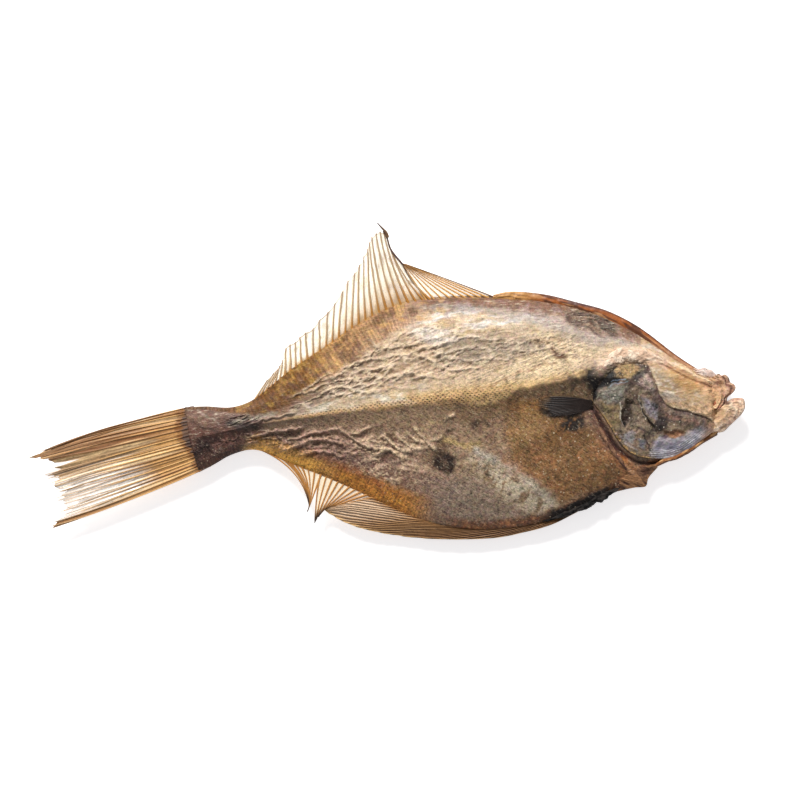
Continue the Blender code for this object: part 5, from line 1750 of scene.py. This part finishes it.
# %% A recipe for a material
class Recipe:
    """A material whose nodes are added one method call at a time."""

    def __init__(self, name, **constants):
        self.material = bpy.data.materials.new(name)
        self.material.use_nodes = True
        self.tree = self.material.node_tree
        self.shader = self.tree.nodes["Principled BSDF"]
        for socket, value in constants.items():
            self.shader.inputs[socket.replace("_", " ").title().replace("Ior", "IOR")].default_value = value

    def node(self, kind, settings=None, values=None, output=0):
        """Adds a node, its settings first and then the values or links of its sockets."""
        made = self.tree.nodes.new(kind)
        for name, value in (settings or {}).items():
            setattr(made, name, value)
        for socket, value in (values or {}).items():
            if isinstance(value, Signal):
                self.tree.links.new(value.socket, made.inputs[socket])
            else:
                made.inputs[socket].default_value = value
        return Signal(self, made.outputs[output])

    def place(self):
        """The point's place on the object, in metres."""
        return self.node("ShaderNodeTexCoord", output="Object")

    def noise(self, size_mm, detail=3.0, roughness=0.6, output="Fac"):
        """Noise whose lumps are `size_mm` across."""
        values = {"Vector": self.place(), "Scale": 1 / (size_mm * MM), "Detail": detail,
            "Roughness": roughness}
        return self.node("ShaderNodeTexNoise", None, values, output)

    def cells(self, size_mm):
        """Distance to the nearest of scattered points."""
        values = {"Vector": self.place(), "Scale": 1 / (size_mm * MM)}
        return self.node("ShaderNodeTexVoronoi", None, values, "Distance")

    def fibres(self, degrees, length_mm, width_mm):
        """Noise drawn out into fibres that run at an angle in plan."""
        values = {"Vector": self.place(), "Rotation": (0, 0, math.radians(degrees))}
        values["Scale"] = (length_mm * MM, width_mm * MM, width_mm * MM)
        turned = self.node("ShaderNodeMapping", {"vector_type": "TEXTURE"}, values)
        return self.node("ShaderNodeTexNoise", None,
            {"Vector": turned, "Scale": 1.0, "Detail": 4.0, "Roughness": 0.65})

    def axes(self, degrees):
        """Places along and across a direction in plan, in metres."""
        values = {"Vector": self.place(), "Rotation": (0, 0, math.radians(degrees))}
        turned = self.node("ShaderNodeMapping", None, values)
        return [self.node("ShaderNodeSeparateXYZ", None, {0: turned}, k) for k in (0, 1)]

    def stored(self, name, colour=False):
        """A value that was put on the mesh's points."""
        return self.node("ShaderNodeAttribute", {"attribute_name": name},
            output="Color" if colour else "Fac")

    def window(self, value, low, high):
        """0 below low, 1 above high and a smooth step between."""
        settings = {"interpolation_type": "SMOOTHSTEP"}
        return self.node("ShaderNodeMapRange", settings,
            {"Value": value, "From Min": low, "From Max": high})

    def blend(self, amount, under, over, how="MIX"):
        """Colour `over` on colour `under`."""
        settings = {"data_type": "RGBA", "blend_type": how, "clamp_factor": True}
        return self.node("ShaderNodeMix", settings, {0: amount, 6: under, 7: over}, 2)

    def grey(self, value):
        """A number as a grey colour, for multiplying into another colour."""
        return self.node("ShaderNodeCombineColor", None, {0: value, 1: value, 2: value})

    def painted(self, shade):
        """The colour painted on the mesh, made lighter or darker by a shade."""
        return self.blend(1.0, self.stored("tint", colour=True), self.grey(shade), "MULTIPLY")

    def bump(self, height, depth_mm, strength=1.0):
        """A surface normal tilted by the slope of `height`."""
        return self.node("ShaderNodeBump", None,
            {"Height": height, "Distance": depth_mm * MM, "Strength": strength})

    def finish(self, **links):
        """Plugs signals into the shader's own sockets."""
        for socket, value in links.items():
            self.tree.links.new(value.socket, self.shader.inputs[socket.replace("_", " ")])
        return self.material


# %% [markdown]
# ## Finishes
# All finishes read the painted colour and break it up: grit and pores darken and lighten it, and the same
# patterns tilt the surface, so light catches them. On the skin and the gill cover a coloured noise also
# shifts the hue a little. The skin also has a fine hatching at the fins' roots and rows of tiny scales
# along the backbone, where the mesh's attributes `hatch` and `beads` say so. Fibres run along the skin:
# level above the backbone, slanting below it, rising towards the neck. In the fins' webs, threads of noise
# run along the rays, because the mesh stores each point's place in the fan as `share` and `out`. The gill
# cover's nacre is smoother than its bone, and the attribute `calm` says where.

# %% Skin
# Steps of the pattern: the hatching's in mm as the attribute `run` is, the scales' in metres.
HATCH_STEP, SCALE_LONG, SCALE_HIGH = 1.7, 0.0019, 0.0017
recipe = Recipe("blind_side_skin", specular_ior_level=0.3)
names = ("grit", "fleck", "hatch", "beads", "side", "slant")
grit, fleck, hatch, beads, side, slant = (recipe.stored(name) for name in names)
sand = recipe.noise(0.75, 3.0, 0.8)
pores = recipe.noise(1.7, 4.0, 0.75)
mottle = recipe.noise(5.0, 4.0, 0.7)
level, sloping = recipe.fibres(5, 4.6, 0.8), recipe.fibres(-34, 2.4, 0.8)
rising = recipe.fibres(24, 3.2, 0.7)
fibre = sloping + (level - sloping) * side
fibre = fibre + (rising - fibre) * slant
shade = (
    (sand * 2.6 + pores * 2.4 - 2.5) * grit + mottle * 0.9 + fibre * (1.5 + slant * 0.9) - 0.2
    - slant * 0.45
)
waves = (recipe.stored("run") * (math.tau / HATCH_STEP) + pores * 7.0 + mottle * 6.0).sine()
bars = recipe.window(waves, -0.2, 0.9)
lines = bars * hatch * recipe.window(mottle + pores, 0.8, 1.1)
across, upward = recipe.axes(-8)
scales = (
    (across * (math.tau / SCALE_LONG) + pores * 4).sine()
    * (upward * (math.tau / SCALE_HIGH) + mottle * 5).sine()
)
dots = recipe.window(scales, 0.1, 0.8) * beads
shade = shade - lines * 0.26 - dots * 0.62
colour = recipe.painted(shade)
colour = recipe.blend(0.35, colour, recipe.noise(1.6, 3.0, 0.6, "Color"), "SOFT_LIGHT")
colour = recipe.blend(recipe.window(fibre, 0.56, 0.72) * (side * 0.35 + 0.22 - hatch * 0.48), colour,
    (0.76, 0.67, 0.52, 1))
specks = recipe.window(recipe.cells(1.6), 0.28, 0.12) * recipe.window(recipe.noise(3.0), 0.48, 0.58)
colour = recipe.blend(specks * (fleck * 0.6 + 0.15), colour, (0.76, 0.62, 0.44, 1))
height = sand * 0.8 + pores * 1.2 + fibre * 1.2 - dots * 0.6 - lines * 0.8
blind_side_skin = recipe.finish(
    Base_Color=colour, Roughness=0.3 + pores * 0.3, Normal=recipe.bump(height, 0.36, 0.9)
)

# %% Fins
recipe = Recipe("fin_ray", specular_ior_level=0.4)
flecks = recipe.noise(0.9, 4.0, 0.7)
colour = recipe.painted(0.5 + flecks)
fin_ray = recipe.finish(Base_Color=colour, Roughness=0.35 + flecks * 0.25,
    Normal=recipe.bump(flecks, 0.15, 0.6))


def web_finish(name, strength, count):
    """A see-through web, streaked along its rays by noise drawn out in the web's own shares."""
    recipe = Recipe(name, specular_ior_level=0.4)
    solid = recipe.stored("solid")
    flecks, stains = recipe.noise(0.8, 4.0, 0.7), recipe.noise(3.5, 3.0, 0.6)
    place = {0: recipe.stored("share") * count + stains * 2, 1: recipe.stored("out") * 4 + stains * 2}
    place = recipe.node("ShaderNodeCombineXYZ", None, place)
    values = {"Vector": place, "Scale": 1.0, "Detail": 4.0, "Roughness": 0.7}
    threads = recipe.node("ShaderNodeTexNoise", None, values) - 0.5
    shade = 0.45 + flecks * 0.7 + stains * 0.4 + threads * strength
    return recipe.finish(
        Base_Color=recipe.painted(shade), Roughness=0.32 + flecks * 0.25,
        Alpha=solid * (0.7 + flecks * 0.6 - threads * strength * 0.4),
        Normal=recipe.bump(flecks, 0.15, 0.7),
    )


fin_web_finish = web_finish("fin_web", 0.8, 120.0)
tail_web_finish = web_finish("tail_web", 3.2, 64.0)

# %% Bone, lips and eyes
recipe = Recipe("gill_bone", specular_ior_level=0.35)
grit, veins, blots = recipe.noise(0.8, 4.0, 0.8), recipe.noise(2.2, 4.0, 0.75), recipe.noise(4.5, 3.0, 0.6)
calm = recipe.stored("calm") * 0.7
shade = (grit * 3.0 + veins * 3.0 + blots * 2.4 - 3.15) * (1 - calm) + calm * 0.95
colour = recipe.painted(shade)
colour = recipe.blend(0.35, colour, recipe.noise(1.8, 3.0, 0.6, "Color"), "SOFT_LIGHT")
sparks = recipe.window(recipe.cells(1.7), 0.24, 0.12) * recipe.window(recipe.noise(2.5), 0.5, 0.58)
colour = recipe.blend(sparks * 0.7, colour, (0.84, 0.76, 0.62, 1))
gill_bone = recipe.finish(Base_Color=colour, Roughness=0.25 + grit * 0.35,
    Normal=recipe.bump(grit + veins * 1.5, 0.4, 0.8))

recipe = Recipe("lip_skin", specular_ior_level=0.25)
pores, creases = recipe.noise(0.6, 4.0, 0.75), recipe.noise(2.0, 4.0, 0.75)
colour = recipe.painted(pores * 1.1 + creases * 1.1 - 0.1)
lip_skin = recipe.finish(Base_Color=colour, Roughness=0.4 + pores * 0.3,
    Normal=recipe.bump(pores + creases * 2, 0.45, 0.9))

recipe = Recipe("shrunken_eye", specular_ior_level=0.6, coat_weight=0.3)
film = recipe.noise(1.2, 4.0, 0.7)
colour = recipe.painted(0.55 + film * 0.9)
shrunken_eye = recipe.finish(Base_Color=colour, Roughness=0.3 + film * 0.3,
    Normal=recipe.bump(film, 0.3, 0.7))

# %% [markdown]
# ## Dressing the frame
# Every piece rides on the fish's one body and takes the place of the plain CAD solid.

# %% Finish, body and slot of each piece
DRESS = {
    "skin upper_jaw lower_jaw": blind_side_skin,
    "peak_rays peak_tip peak_edge folded_rays dorsal_rim": fin_ray,
    "spike_rays hook_rays anal_flap tail_rays": fin_ray,
    "peak_web folded_web spike_web hook_web pectoral_fin": fin_web_finish,
    "tail_web": tail_web_finish,
    "gill_cover": gill_bone,
    "corner_lump neck_fold tar_edge throat_bar shoulder_bar pelvic_point": lip_skin,
    "brow_eye lower_eye": shrunken_eye,
}
count = 0
for names, finish in DRESS.items():
    for name in names.split():
        piece = bpy.data.objects[name]
        piece.data.materials.append(finish)
        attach(piece, "root")
        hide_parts("flounder")
        count += 1
print("pieces:", count)

# %% [markdown]
# ## Floor and light
# The fish lies on a light table: a white sheet that glows a little of itself, so it stays white
# round the fish, shines through the fins' webs and keeps the shadows thin. One soft lamp stands
# low above the fish's back, so every fold throws a small shadow towards the belly.

# %% The floor
recipe = Recipe("light_table", roughness=0.9, specular_ior_level=0.1, emission_strength=0.64)
recipe.shader.inputs["Emission Color"].default_value = (1, 0.985, 1, 1)
mist = recipe.noise(60, 2.0, 0.5)
light_table = recipe.finish(Base_Color=recipe.blend(mist, (0.80, 0.80, 0.80, 1), (0.82, 0.82, 0.82, 1)))
corners = np.array([(-3000, -3000, -0.05), (3000, -3000, -0.05), (3000, 3000, -0.05), (-3000, 3000, -0.05)])
floor = make_piece("table", corners, np.array([[0, 1, 2, 3]]))
floor.data.materials.append(light_table)


# %% The lamp and the room
def lamp(name, place, size, power):
    """A square soft lamp at a place in metres, turned to face the fish."""
    made = bpy.data.objects.new(name, bpy.data.lights.new(name, "AREA"))
    bpy.context.scene.collection.objects.link(made)
    made.data.size, made.data.energy = size, power
    made.data.color = (1.0, 0.985, 0.95)
    made.location = place
    reach = math.hypot(place[0], place[1])
    made.rotation_euler = (math.atan2(reach, place[2]), 0, math.atan2(place[0], -place[1]))


lamp("key_lamp", (-0.3, 1.15, 0.9), 0.4, 29.5)
world = bpy.data.worlds.new("room")
world.use_nodes = True
world.node_tree.nodes["Background"].inputs["Color"].default_value = (1.0, 1.0, 1.0, 1)
world.node_tree.nodes["Background"].inputs["Strength"].default_value = 0.31
bpy.context.scene.world = world
bpy.context.scene.view_settings.view_transform = "Standard"
